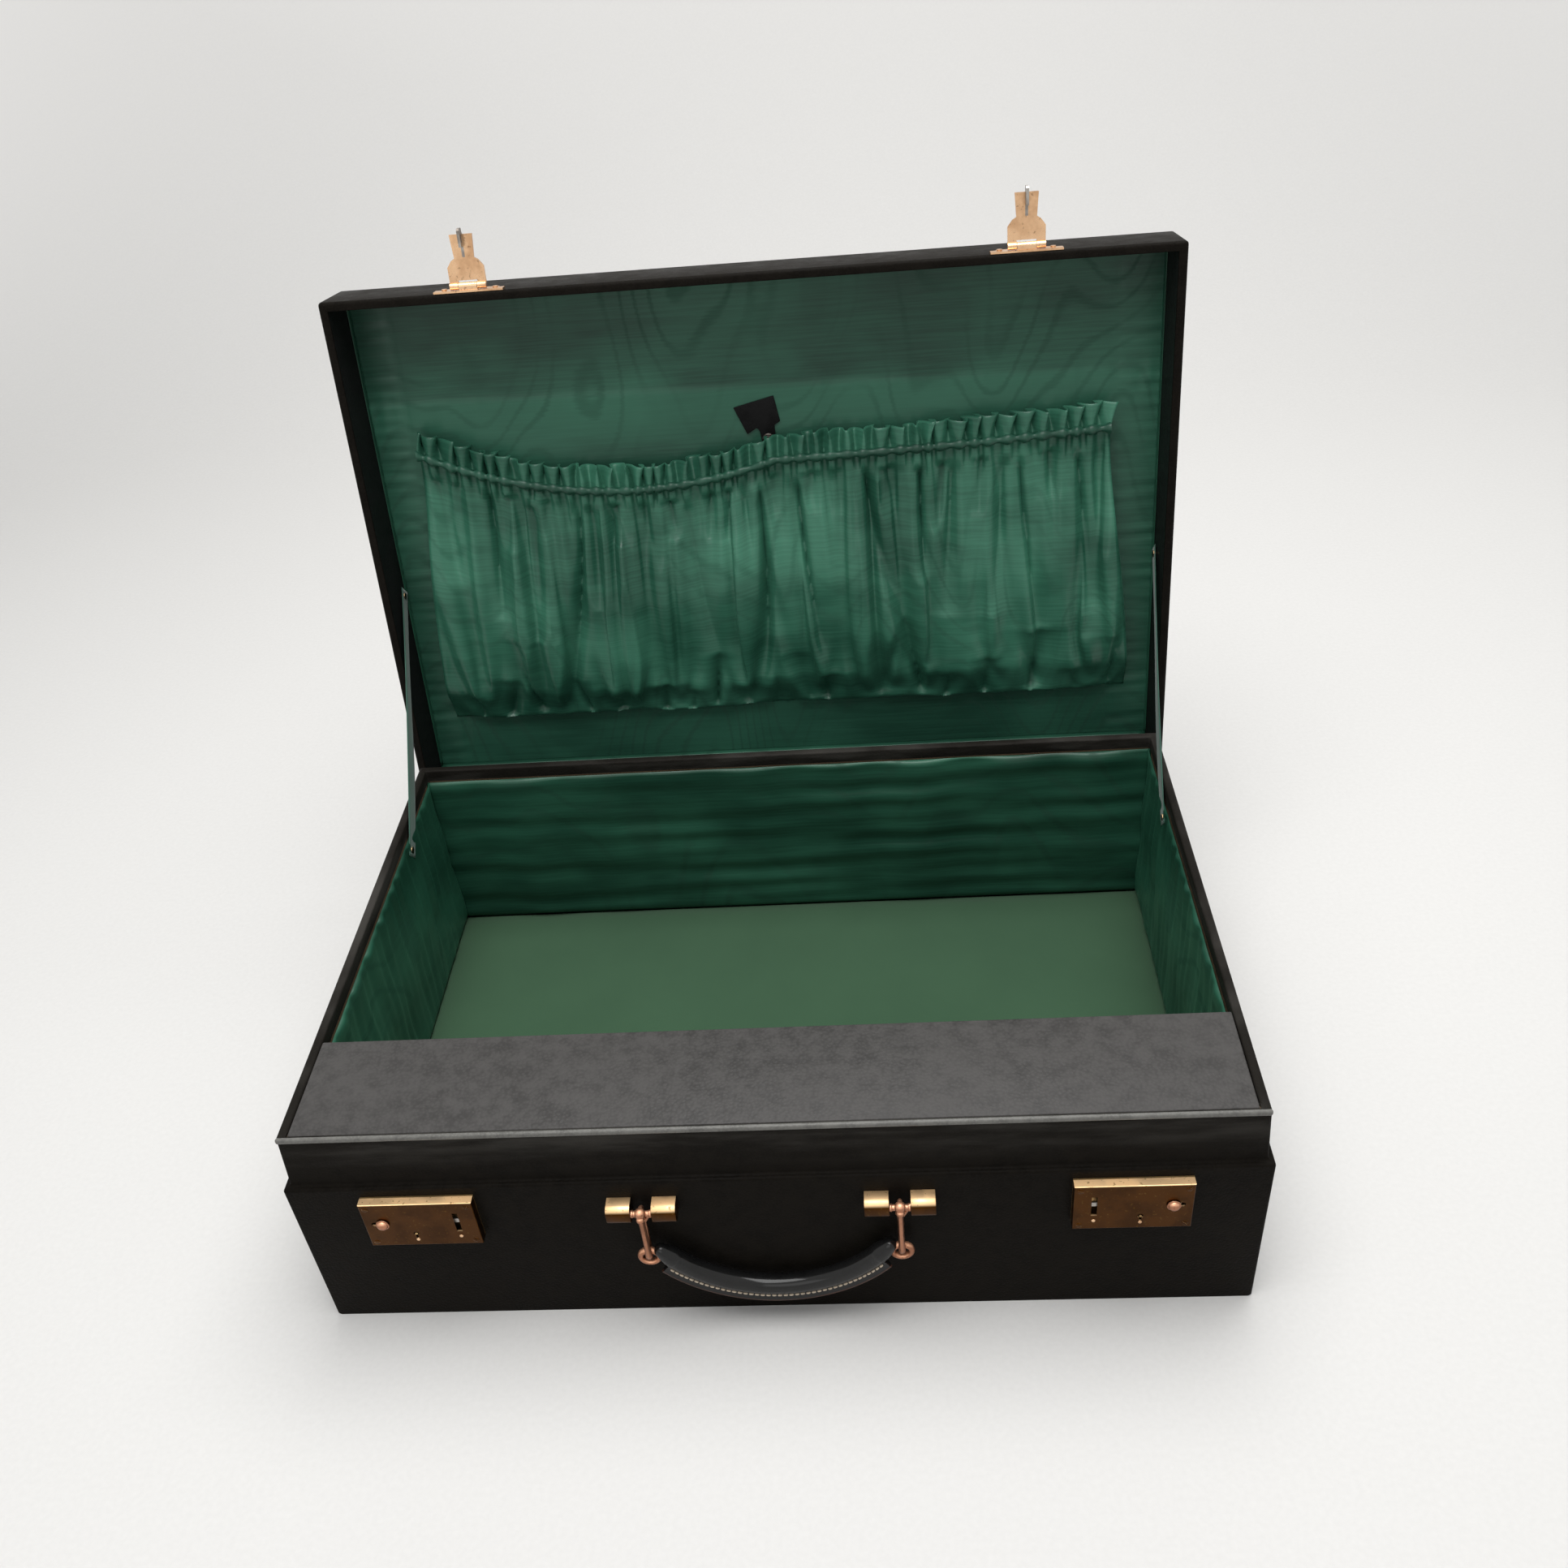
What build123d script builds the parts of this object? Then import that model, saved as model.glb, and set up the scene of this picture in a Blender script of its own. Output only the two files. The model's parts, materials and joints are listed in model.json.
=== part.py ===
from build123d import *
import os
from math import cos, radians, sin

# A leather-covered dressing case that stands open: a lipped body with a lined well and a covered
# front compartment, a lid that closes over the lip, two box locks with hasps, and a carrying
# handle. Millimetres. Origin at the centre of the base, +X to the right, +Y to the back, +Z up.
# Every lid part is drawn in the closed lid's own frame, which starts on the hinge axis.

os.makedirs("parts", exist_ok=True)

# ---- Driving dimensions: body ------------------------------------------------------------------
body_width = 557.0
body_depth = 362.0
body_height = 160.0
shoulder_height = 121.0  # where the lid's rim lands
lip_inset = 3.5  # step from the body's face to the foot of the lip
lip_taper = 2.0  # how much further in the lip leans by its top
leather = 1.0
base_cover = 1.0
base_board_thickness = 8.0
liner_thickness = 5.5
lining_thickness = 2.0
floor_pad_thickness = 6.0
turned_in = 10.0  # leather folded down inside the mouth
corner_radius = 3.0

# ---- Front compartment and its flap ------------------------------------------------------------
ledge_depth = 78.2  # front face of the body to the back edge of the flap
partition_thickness = 5.0
partition_lining = 1.5
compartment_lining_thickness = 1.0
flap_overhang = 0.7  # past the partition's lining
flap_board_thickness = 3.0
flap_lining_thickness = 0.8
flap_side_gap = 0.6
flap_seat_gap = 0.3
hinge_crease_inset = 1.5  # flap edge behind the lip's front face
strip_gap = 0.2  # under the strip of leather that hinges the flap

# ---- Lid ---------------------------------------------------------------------------------------
lid_overhang = 3.0  # past the body's face, all round
lid_height = 48.0
lid_rim_gap = 0.3
lid_board = 4.0
lid_top_thickness = 3.0
lid_panel_thickness = 2.0
lid_lining_thickness = 1.5
lid_strip_height = 35.0  # leather band that rubs on the lip
lid_open_angle = 98.9
lid_edge_radius = 3.0

# ---- Hinges ------------------------------------------------------------------------------------
hinge_spacing = 190.0
hinge_width = 60.0
hinge_leaf = 1.2
hinge_leaf_height = 26.0
knuckle_radius = 2.6
hinge_pin_radius = 1.0
pin_clearance = 0.05
knuckle_gap = 0.3
hinge_screw_spacing = 20.0
leaf_bend_drop = 7.0  # the leaf's flat ends this far below the axis
leaf_bend_rise = 1.0
leaf_bend_out = 0.4
crook_drop = 4.4  # foot of the arm that carries the barrel
crook_nip = 0.6
crook_in = 0.2
lid_leaf_relief = 2.4

# ---- Screws and rivets -------------------------------------------------------------------------
screw_shank = 1.2
screw_head = 2.2
screw_head_height = 0.8
hole_clearance = 0.05
hinge_screw_length = 4.6

# ---- Locks -------------------------------------------------------------------------------------
lock_inset = 76.5  # end of the body to the centre of a lock
lock_width = 66.0
lock_height = 37.0
lock_centre_height = 95.5
lock_proud = 6.2
lock_wall = 1.0
hasp_offset = 21.5  # from the lock's centre to its slot, towards the handle
slot_width = 3.2
slot_low = 88.8
slot_high = 105.0
button_offset = 22.0  # from the lock's centre to the button, outwards
button_radius = 3.6
button_height = 2.4
button_travel = 5.0
bolt_height = 97.0
bolt_width = 3.2
bolt_thickness = 1.4
bolt_nose = 2.0  # past the slot's centre
keyhole_offset = 4.4  # from the lock's centre, outwards
keyhole_height = 87.5
keyhole_radius = 1.7
spring_thickness = 0.4
spring_rise = 9.0
spring_foot = 3.0
spring_seat = 2.0
bolt_tail = 4.0  # past the button's neck
lock_screw_inset = 3.6
lock_screw_length = 6.0
lock_edge_round = 0.6
keyhole_slit = 1.4
keyhole_slit_length = 3.4
key_pin_radius = 0.8
button_slot = 3.2
button_gap = 0.2
button_neck = 1.4
bolt_gap = 0.4  # behind the cover

# ---- Hasps -------------------------------------------------------------------------------------
hasp_plate_width = 46.0
hasp_plate_height = 10.0
hasp_plate_thickness = 1.2
hasp_axis_height = 5.0  # above the lid's rim plane
hasp_knuckle_radius = 2.2
hasp_pin_radius = 0.9
hasp_tongue_width = 12.0
hasp_shoulder_width = 24.0
hasp_tip_width = 15.0
hasp_shoulder_reach = 15.5
hasp_reach = 31.5
hasp_thickness = 1.8
hasp_rivet_spacing = 34.0
hook_thickness = 1.8
hook_reach = 35.4
hook_start = 24.0
hook_inner = 4.7
hook_split_start = 17.5
hasp_corner_cut = 4.0
hasp_corner_drop = 3.0
hasp_corner_over = 1.0
hasp_shoulder_slope = 4.0
hasp_shoulder_chamfer = 3.0
hasp_waist_in = 1.0
hasp_waist_drop = 1.5
hasp_fork_room = 2.2
hasp_axis_gap = 0.2
hasp_leaf_gap = 0.4
hook_chamfer = 1.2
hook_eye_width_room = 1.4
hook_eye_depth_room = 0.6

# ---- Handle ------------------------------------------------------------------------------------
handle_spacing = 73.0  # centre of the case to each shackle
handle_axis_height = 102.5
handle_axis_out = 7.6  # from the body's front face
mount_block_width = 14.0
mount_gap = 12.0
mount_height = 15.0
mount_low = 94.5
mount_wall = 1.2  # in front of the pin
mount_round = 3.0
mount_rivet_depth = 4.0  # into the block
handle_pin_radius = 1.9
shackle_wire = 1.4
shackle_clearance = 0.1
shackle_drop = 34.0
eye_radius = 5.0
eye_wire = 1.6
ferrule_radius = 4.2
ferrule_length = 9.0
grip_radius = 6.7
grip_sag_height = 33.5
grip_end_in = 13.5  # from the shackle to the end of the leather
grip_end_drop = 2.6  # below the middle of the eye
grip_end_round = 2.0
ball_radius = 2.4
ball_out = 0.6  # in front of the shackle's wire
mount_rivet_radius = 1.6
burr_radius = 3.1
burr_thickness = 0.9
burr_clearance = 0.1

# ---- Lid pocket, tab and stays -----------------------------------------------------------------
pocket_half_width = 256.0
pocket_cloth = 1.2
pocket_low = 46.0
pocket_mouth = 250.0
pocket_bulge = 26.0
pocket_mouth_depth = 14.0
pocket_fullness = 75.0  # from the foot up to the fullest place
pocket_foot = 8.0
pocket_gather = 40.0  # from the mouth down to the end of its gathers
tab_width = 31.0
tab_low = 262.0
tab_high = 284.0
tab_thickness = 1.2
tab_tongue_width = 12.0
stud_position = (5.0, 252.5)  # across, and up the lid from the hinge
stud_radius = 4.5
stud_shank = 1.0
stud_height = 1.6
stud_round = 1.0
tab_lean = 1.0
tab_taper = 3.0
stay_width = 12.0
stay_thickness = 0.4
stay_body_inset = 81.0  # rivet in the body to the case's back face
stay_drop = 9.0  # rivet in the body below the lining's top edge
stay_lid_reach = 155.0
stay_lid_height = 31.5
stay_gap_body = 1.0  # ribbon's face to the silk beside it
stay_gap_lid = 0.3
stay_tail = 4.8  # ribbon left past each rivet
stay_rivet_head = 2.5
stay_rivet_head_height = 0.4
stay_rivet_gap = 0.1
stay_rivet_body_length = 6.0
stay_rivet_lid_length = 5.5
floor_pad_round = 1.5
hole_end = 0.1  # a hole runs this far past the face it leaves

# ---- Derived places ----------------------------------------------------------------------------
half_w = body_width / 2
half_d = body_depth / 2
lock_spacing = half_w - lock_inset
board_half_w = half_w - leather
board_half_d = half_d - leather
liner_half_w = half_w - lip_inset - leather
liner_half_d = half_d - lip_inset - leather
mouth_half_w = liner_half_w - liner_thickness
mouth_half_d = liner_half_d - liner_thickness
rim_half_w = mouth_half_w - leather
rim_half_d = mouth_half_d - leather
well_half_w = mouth_half_w - lining_thickness
well_back = mouth_half_d - lining_thickness
board_low = base_cover
floor_low = base_cover + base_board_thickness
floor_high = floor_low + floor_pad_thickness
lining_high = body_height - turned_in
flap_back = -half_d + ledge_depth
well_front = flap_back - flap_overhang
partition_back = well_front - partition_lining
partition_front = partition_back - partition_thickness
flap_low = body_height - leather - flap_board_thickness - flap_lining_thickness
flap_half_w = rim_half_w - flap_side_gap
flap_front = -half_d + lip_inset + lip_taper + hinge_crease_inset
front_rim_high = body_height - leather - strip_gap
partition_high = flap_low - flap_seat_gap

lid_half_w = half_w + lid_overhang
lid_half_d = half_d + lid_overhang
hinge_y = lid_half_d + knuckle_radius + knuckle_gap
hinge_z = shoulder_height
lid_wall_half_w = lid_half_w - leather
lid_wall_half_d = lid_half_d - leather
lid_strip_half_w = lid_wall_half_w - lid_board
lid_strip_half_d = lid_wall_half_d - lid_board
lid_mouth_half_w = lid_strip_half_w - leather
lid_mouth_half_d = lid_strip_half_d - leather
lid_rim = lid_rim_gap
lid_crown = lid_rim + lid_height
lid_board_high = lid_crown - leather
lid_wall_high = lid_board_high - lid_top_thickness
lid_panel_low = lid_wall_high - lid_panel_thickness
lid_strip_low = lid_rim + leather
lid_strip_high = lid_strip_low + lid_strip_height
lid_front_face = -(hinge_y + lid_half_d)  # in the lid's frame
lid_back_face = -(hinge_y - lid_half_d)
hasp_axis_y = lid_front_face - hasp_plate_thickness - hasp_knuckle_radius - hasp_axis_gap

lock_back = -half_d
lock_cover_back = lock_back - lock_wall
lock_front = lock_back - lock_proud
lock_low = lock_centre_height - lock_height / 2
bolt_y = lock_front + lock_wall + bolt_gap + bolt_thickness / 2
handle_axis_y = -half_d - handle_axis_out
eye_height = handle_axis_height - shackle_drop

lean = radians(lid_open_angle)
LID = Plane(origin=(0, hinge_y, hinge_z), x_dir=(1, 0, 0), z_dir=(0, sin(lean), cos(lean)))


def at_height(z):
    return Plane.XY.offset(z)


def lid_at(height):
    """A plane parallel to the lid's rim, seen in the lid's own frame."""
    return LID.offset(height)


def lid_section(x):
    """The lid's cross-section plane: local X runs back to front reversed, local Y up the walls."""
    start = LID.from_local_coords(Vector(x, 0, 0))
    across = LID.from_local_coords(Vector(x, 1, 0)) - start
    return Plane(origin=start, x_dir=across, z_dir=(1, 0, 0))


def side_section(x):
    """A cross-section of the body at x: local X runs to the back, local Y up."""
    return Plane(origin=(x, 0, 0), x_dir=(0, 1, 0), z_dir=(1, 0, 0))


def front_section(y):
    """A plane parallel to the front: local X runs to the right, local Y up, outwards is -Y."""
    return Plane(origin=(0, y, 0), x_dir=(1, 0, 0), z_dir=(0, -1, 0))


def finish(piece, name):
    piece.part.label = name
    export_step(piece.part, f"parts/{name}.step")


def lip_at(z, half):
    """Half size of the lip's wooden face at height z, from its half size at the foot."""
    return half - lip_taper * (z - shoulder_height) / (body_height - shoulder_height)


def lip_block(low, high, outward=0.0, mode=Mode.ADD):
    """The leaning block that the lip's outside follows, between two heights."""
    sections = []
    for z in (low, high):
        with BuildSketch(at_height(z)) as section:
            Rectangle(2 * lip_at(z, liner_half_w + outward), 2 * lip_at(z, liner_half_d + outward))
        sections.append(section.sketch)
    loft(sections=sections, mode=mode)


def block(low, high, mode=Mode.ADD):
    """A box between two corners."""
    size = [b - a for a, b in zip(low, high)]
    middle = [(a + b) / 2 for a, b in zip(low, high)]
    with Locations(tuple(middle)):
        Box(*size, mode=mode)


def rivet_holes(depth):
    """Holes for the handle's rivets, from the body's front face inwards."""
    drill(front_section(-half_d), mount_rivet_spots, mount_rivet_radius + hole_clearance, depth)


def lid_block(low, high, mode=Mode.ADD):
    """A box between two corners of the lid's own frame."""
    size = [b - a for a, b in zip(low, high)]
    with BuildSketch(lid_at(low[2])) as outline:
        with Locations(((low[0] + high[0]) / 2, (low[1] + high[1]) / 2)):
            Rectangle(size[0], size[1])
    extrude(outline.sketch, amount=size[2], mode=mode)


def drill(plane, spots, radius, depth):
    """Round holes into a face, from the plane inwards."""
    with BuildSketch(plane) as holes:
        with Locations(*spots):
            Circle(radius)
    extrude(holes.sketch, amount=-depth, mode=Mode.SUBTRACT)


# ---- Where the fasteners go --------------------------------------------------------------------
hinge_places = (-hinge_spacing, 0.0, hinge_spacing)
hinge_offsets = (-hinge_screw_spacing, 0.0, hinge_screw_spacing)
hinge_screw_drop = hinge_leaf_height * 0.6
body_hinge_screws = [
    (x + dx, hinge_z - hinge_screw_drop) for x in hinge_places for dx in hinge_offsets
]
lid_hinge_screws = [(x + dx, hinge_screw_drop) for x in hinge_places for dx in hinge_offsets]
lock_screw_spots = [
    (side * lock_spacing + dx, lock_centre_height + dz)
    for side in (-1, 1)
    for dx in (-lock_width / 2 + lock_screw_inset, lock_width / 2 - lock_screw_inset)
    for dz in (-lock_height / 2 + lock_screw_inset, lock_height / 2 - lock_screw_inset)
]
mount_block_spots = [
    side * handle_spacing + way * (mount_gap + mount_block_width) / 2
    for side in (-1, 1)
    for way in (-1, 1)
]
mount_rivet_spots = [(x, mount_low + mount_rivet_radius * 2) for x in mount_block_spots]
hasp_spots = [side * (lock_spacing - hasp_offset) for side in (-1, 1)]
hasp_rivet_height = lid_strip_low + hasp_plate_height / 2 + 1.0
hasp_rivet_spots = [
    (x + way * hasp_rivet_spacing / 2, hasp_rivet_height) for x in hasp_spots for way in (-1, 1)
]


# ---- Body: base, walls and lip -----------------------------------------------------------------
with BuildPart() as base_covering:
    with BuildSketch(at_height(0)):
        RectangleRounded(body_width, body_depth, corner_radius)
    extrude(amount=base_cover)
finish(base_covering, "base_covering")

with BuildPart() as base_board:
    block((-board_half_w, -board_half_d, board_low), (board_half_w, board_half_d, floor_low))
finish(base_board, "base_board")


def front_holes(depth):
    """Holes that the locks' screws and the handle's rivets need in a piece of the front wall."""
    drill(front_section(-half_d), lock_screw_spots, screw_shank + hole_clearance, depth)
    rivet_holes(depth)


shell_high = shoulder_height - leather
with BuildPart() as shell_front:
    block((-board_half_w, -board_half_d, floor_low), (board_half_w, -liner_half_d, shell_high))
    front_holes(leather + lip_inset + 1)
finish(shell_front, "shell_front")

with BuildPart() as shell_back:
    block((-board_half_w, liner_half_d, floor_low), (board_half_w, board_half_d, shell_high))
    back_face = Plane(origin=(0, half_d, 0), x_dir=(1, 0, 0), z_dir=(0, -1, 0))
    drill(back_face, body_hinge_screws, screw_shank + hole_clearance, -leather - lip_inset - 1)
    drill(back_face, body_hinge_screws, screw_shank + hole_clearance, leather + lip_inset + 1)
finish(shell_back, "shell_back")

with BuildPart() as shell_sides:
    for side in (-1, 1):
        x = sorted((side * liner_half_w, side * board_half_w))
        block((x[0], -liner_half_d, floor_low), (x[1], liner_half_d, shell_high))
finish(shell_sides, "shell_sides")


def liner_ring():
    """The four lip boards as one ring: straight below the shoulder, leaning in above it."""
    wood_high = body_height - leather
    block((-liner_half_w, -liner_half_d, floor_low), (liner_half_w, liner_half_d, shoulder_height))
    lip_block(shoulder_height, wood_high)
    block(
        (-mouth_half_w, -mouth_half_d, floor_low),
        (mouth_half_w, mouth_half_d, body_height),
        Mode.SUBTRACT,
    )


far = body_width  # reaches past everything
with BuildPart() as liner_front:
    liner_ring()
    block((-far, -mouth_half_d, 0), (far, far, far), Mode.SUBTRACT)
    block((-far, -far, front_rim_high - leather), (far, 0, far), Mode.SUBTRACT)
    rivet_holes(half_d - mouth_half_d + 1)
finish(liner_front, "liner_front")

with BuildPart() as liner_back:
    liner_ring()
    block((-far, -far, 0), (far, mouth_half_d, far), Mode.SUBTRACT)
finish(liner_back, "liner_back")

stay_body_y = half_d - stay_body_inset
stay_body_z = lining_high - stay_drop
stay_body_spot = [(stay_body_y, stay_body_z)]
with BuildPart() as liner_sides:
    liner_ring()
    block((-far, -far, 0), (far, -mouth_half_d, far), Mode.SUBTRACT)
    block((-far, mouth_half_d, 0), (far, far, far), Mode.SUBTRACT)
    for side in (-1, 1):
        drill(side_section(side * far), stay_body_spot, screw_shank + hole_clearance, far * side)
finish(liner_sides, "liner_sides")

with BuildPart() as lip_wood:
    lip_block(lining_high, body_height - leather)
    block(
        (-mouth_half_w, -mouth_half_d, lining_high),
        (mouth_half_w, mouth_half_d, body_height),
        Mode.SUBTRACT,
    )
    block((-far, -far, front_rim_high - leather), (far, -mouth_half_d, far), Mode.SUBTRACT)

with BuildPart() as body_leather:
    with BuildSketch(at_height(base_cover)):
        RectangleRounded(body_width, body_depth, corner_radius)
    extrude(amount=shoulder_height - base_cover)
    lip_block(shoulder_height, body_height, leather)
    block(
        (-board_half_w, -board_half_d, base_cover),
        (board_half_w, board_half_d, shell_high),
        Mode.SUBTRACT,
    )
    block(
        (-liner_half_w, -liner_half_d, shell_high),
        (liner_half_w, liner_half_d, shoulder_height),
        Mode.SUBTRACT,
    )
    lip_block(shoulder_height, lining_high, mode=Mode.SUBTRACT)
    add(lip_wood.part, mode=Mode.SUBTRACT)
    block(
        (-rim_half_w, -rim_half_d, lining_high),
        (rim_half_w, rim_half_d, far),
        Mode.SUBTRACT,
    )
    block((-rim_half_w, -far, front_rim_high), (rim_half_w, -rim_half_d, far), Mode.SUBTRACT)
    front_holes(leather + hole_end)
    back_face = Plane(origin=(0, half_d, 0), x_dir=(1, 0, 0), z_dir=(0, -1, 0))
    drill(back_face, body_hinge_screws, screw_shank + hole_clearance, leather + hole_end)
    drill(back_face, body_hinge_screws, screw_shank + hole_clearance, -leather - hole_end)
finish(body_leather, "body_leather")

# ---- Body: partition and linings ---------------------------------------------------------------
with BuildPart() as partition:
    block(
        (-mouth_half_w, partition_front, floor_low),
        (mouth_half_w, partition_back, lining_high),
    )
    block((-rim_half_w, partition_front, lining_high), (rim_half_w, partition_back, partition_high))
finish(partition, "partition")

with BuildPart() as well_floor:
    block((-well_half_w, well_front, floor_low), (well_half_w, well_back, floor_high))
    fillet(well_floor.faces().sort_by(Axis.Z)[-1].edges(), floor_pad_round)
finish(well_floor, "well_floor")

with BuildPart() as well_lining_back:
    block((-mouth_half_w, well_back, floor_low), (mouth_half_w, mouth_half_d, lining_high))
finish(well_lining_back, "well_lining_back")

with BuildPart() as well_lining_sides:
    for side in (-1, 1):
        x = sorted((side * well_half_w, side * mouth_half_w))
        block((x[0], partition_back, floor_low), (x[1], well_back, lining_high))
        drill(side_section(side * far), stay_body_spot, screw_shank + hole_clearance, far * side)
finish(well_lining_sides, "well_lining_sides")

with BuildPart() as well_lining_front:
    block((-well_half_w, partition_back, floor_low), (well_half_w, well_front, partition_high))
finish(well_lining_front, "well_lining_front")

with BuildPart() as compartment_lining:
    cloth = compartment_lining_thickness
    block((-mouth_half_w, -mouth_half_d, floor_low), (mouth_half_w, partition_front, lining_high))
    block(
        (-mouth_half_w + cloth, -mouth_half_d + cloth, floor_low + cloth),
        (mouth_half_w - cloth, partition_front - cloth, lining_high),
        Mode.SUBTRACT,
    )
    drill(
        front_section(-half_d),
        mount_rivet_spots,
        burr_radius + burr_clearance,
        half_d - mouth_half_d + 2 * cloth,
    )
finish(compartment_lining, "compartment_lining")

# ---- Front flap --------------------------------------------------------------------------------
flap_board_half_w = flap_half_w - leather
flap_board_front = -rim_half_d + flap_side_gap + leather
with BuildPart() as flap_board:
    block(
        (-flap_board_half_w, flap_board_front, flap_low + flap_lining_thickness),
        (flap_board_half_w, flap_back - leather, body_height - leather),
    )
finish(flap_board, "flap_board")

with BuildPart() as flap_leather:
    block((-flap_half_w, flap_front, body_height - leather), (flap_half_w, flap_back, body_height))
    block(
        (-flap_half_w, flap_board_front - leather, flap_low),
        (flap_half_w, flap_back, body_height - leather),
    )
    block(
        (-flap_board_half_w, flap_board_front, flap_low),
        (flap_board_half_w, flap_back - leather, body_height - leather),
        Mode.SUBTRACT,
    )
finish(flap_leather, "flap_leather")

with BuildPart() as flap_lining:
    block(
        (-flap_board_half_w, flap_board_front, flap_low),
        (flap_board_half_w, flap_back - leather, flap_low + flap_lining_thickness),
    )
finish(flap_lining, "flap_lining")

# ---- Lid: boards -------------------------------------------------------------------------------
lid_middle = -hinge_y  # the lid's centre line, in its own frame
lid_back_wall = Plane(
    origin=LID.from_local_coords(Vector(0, lid_back_face, 0)),
    x_dir=(1, 0, 0),
    z_dir=LID.from_local_coords(Vector(0, -1, 0)) - LID.from_local_coords(Vector(0, 0, 0)),
)
lid_front_wall = Plane(
    origin=LID.from_local_coords(Vector(0, lid_front_face, 0)),
    x_dir=(1, 0, 0),
    z_dir=LID.from_local_coords(Vector(0, -1, 0)) - LID.from_local_coords(Vector(0, 0, 0)),
)
stay_lid_spot = [(-stay_lid_reach, stay_lid_height)]

with BuildPart() as lid_top_board:
    lid_block(
        (-lid_wall_half_w, lid_middle - lid_wall_half_d, lid_wall_high),
        (lid_wall_half_w, lid_middle + lid_wall_half_d, lid_board_high),
    )
finish(lid_top_board, "lid_top_board")

with BuildPart() as lid_wall_front:
    lid_block(
        (-lid_wall_half_w, lid_middle - lid_wall_half_d, lid_strip_low),
        (lid_wall_half_w, lid_middle - lid_strip_half_d, lid_wall_high),
    )
    drill(lid_front_wall, hasp_rivet_spots, screw_shank + hole_clearance, leather + lid_board + 1)
finish(lid_wall_front, "lid_wall_front")

with BuildPart() as lid_wall_back:
    lid_block(
        (-lid_wall_half_w, lid_middle + lid_strip_half_d, lid_strip_low),
        (lid_wall_half_w, lid_middle + lid_wall_half_d, lid_wall_high),
    )
    drill(lid_back_wall, lid_hinge_screws, screw_shank + hole_clearance, -leather - lid_board)
    drill(lid_back_wall, lid_hinge_screws, screw_shank + hole_clearance, leather + lid_board)
finish(lid_wall_back, "lid_wall_back")

with BuildPart() as lid_wall_sides:
    for side in (-1, 1):
        x = sorted((side * lid_strip_half_w, side * lid_wall_half_w))
        lid_block(
            (x[0], lid_middle - lid_strip_half_d, lid_strip_low),
            (x[1], lid_middle + lid_strip_half_d, lid_wall_high),
        )
        drill(lid_section(side * far), stay_lid_spot, screw_shank + hole_clearance, far * side)
finish(lid_wall_sides, "lid_wall_sides")

# ---- Lid: leather, linings and panel -----------------------------------------------------------
with BuildPart() as lid_leather:
    with BuildSketch(lid_at(lid_rim)):
        with Locations((0, lid_middle)):
            RectangleRounded(2 * lid_half_w, 2 * lid_half_d, lid_edge_radius)
    extrude(amount=lid_height)
    crown = lid_leather.faces().filter_by(LID).sort_by(Axis(LID.origin, LID.z_dir))[-1]
    fillet(crown.edges(), lid_edge_radius)
    lid_block(
        (-lid_wall_half_w, lid_middle - lid_wall_half_d, lid_strip_low),
        (lid_wall_half_w, lid_middle + lid_wall_half_d, lid_board_high),
        Mode.SUBTRACT,
    )
    lid_block(
        (-lid_mouth_half_w, lid_middle - lid_mouth_half_d, lid_rim),
        (lid_mouth_half_w, lid_middle + lid_mouth_half_d, lid_strip_low),
        Mode.SUBTRACT,
    )
    drill(lid_front_wall, hasp_rivet_spots, screw_shank + hole_clearance, leather + hole_end)
    drill(lid_back_wall, lid_hinge_screws, screw_shank + hole_clearance, leather + hole_end)
    drill(lid_back_wall, lid_hinge_screws, screw_shank + hole_clearance, -leather - hole_end)
finish(lid_leather, "lid_leather")


def lid_band(low, high, thickness):
    """A band round the inside of the lid's four walls."""
    lid_block(
        (-lid_strip_half_w, lid_middle - lid_strip_half_d, low),
        (lid_strip_half_w, lid_middle + lid_strip_half_d, high),
    )
    lid_block(
        (-lid_strip_half_w + thickness, lid_middle - lid_strip_half_d + thickness, low),
        (lid_strip_half_w - thickness, lid_middle + lid_strip_half_d - thickness, high),
        Mode.SUBTRACT,
    )


with BuildPart() as lid_rim_strip:
    lid_band(lid_strip_low, lid_strip_high, leather)
    for side in (-1, 1):
        drill(lid_section(side * far), stay_lid_spot, screw_shank + hole_clearance, far * side)
finish(lid_rim_strip, "lid_rim_strip")

with BuildPart() as lid_side_lining:
    lid_band(lid_strip_high, lid_panel_low, lid_lining_thickness)
finish(lid_side_lining, "lid_side_lining")

with BuildPart() as lid_panel:
    lid_block(
        (-lid_strip_half_w, lid_middle - lid_strip_half_d, lid_panel_low),
        (lid_strip_half_w, lid_middle + lid_strip_half_d, lid_wall_high),
    )
finish(lid_panel, "lid_panel")

# ---- Lid: pocket, tab and stud -----------------------------------------------------------------
# The pocket's cloth stands off the panel as a shallow open-mouthed bag: a bent front with two ends.
belly = lid_panel_low - pocket_bulge
mouth = lid_panel_low - pocket_mouth_depth
fullest = -pocket_low - pocket_fullness
gather = -pocket_mouth + pocket_gather
shoulder = (belly + mouth) / 2
pocket_outside = [
    (-pocket_low, lid_panel_low),
    (-pocket_low - pocket_cloth, belly + pocket_foot),
    (-pocket_low - 2 * pocket_foot, belly + pocket_cloth),
    (fullest, belly),
    (gather, shoulder),
    (-pocket_mouth, mouth),
]
pocket_inside = [
    (-pocket_mouth, mouth + pocket_cloth),
    (gather, shoulder + pocket_cloth),
    (fullest, belly + pocket_cloth),
    (-pocket_low - 2 * pocket_foot, belly + 2 * pocket_cloth),
    (-pocket_low - 2 * pocket_cloth, belly + pocket_foot + pocket_cloth),
    (-pocket_low - pocket_cloth, lid_panel_low),
]
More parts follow.
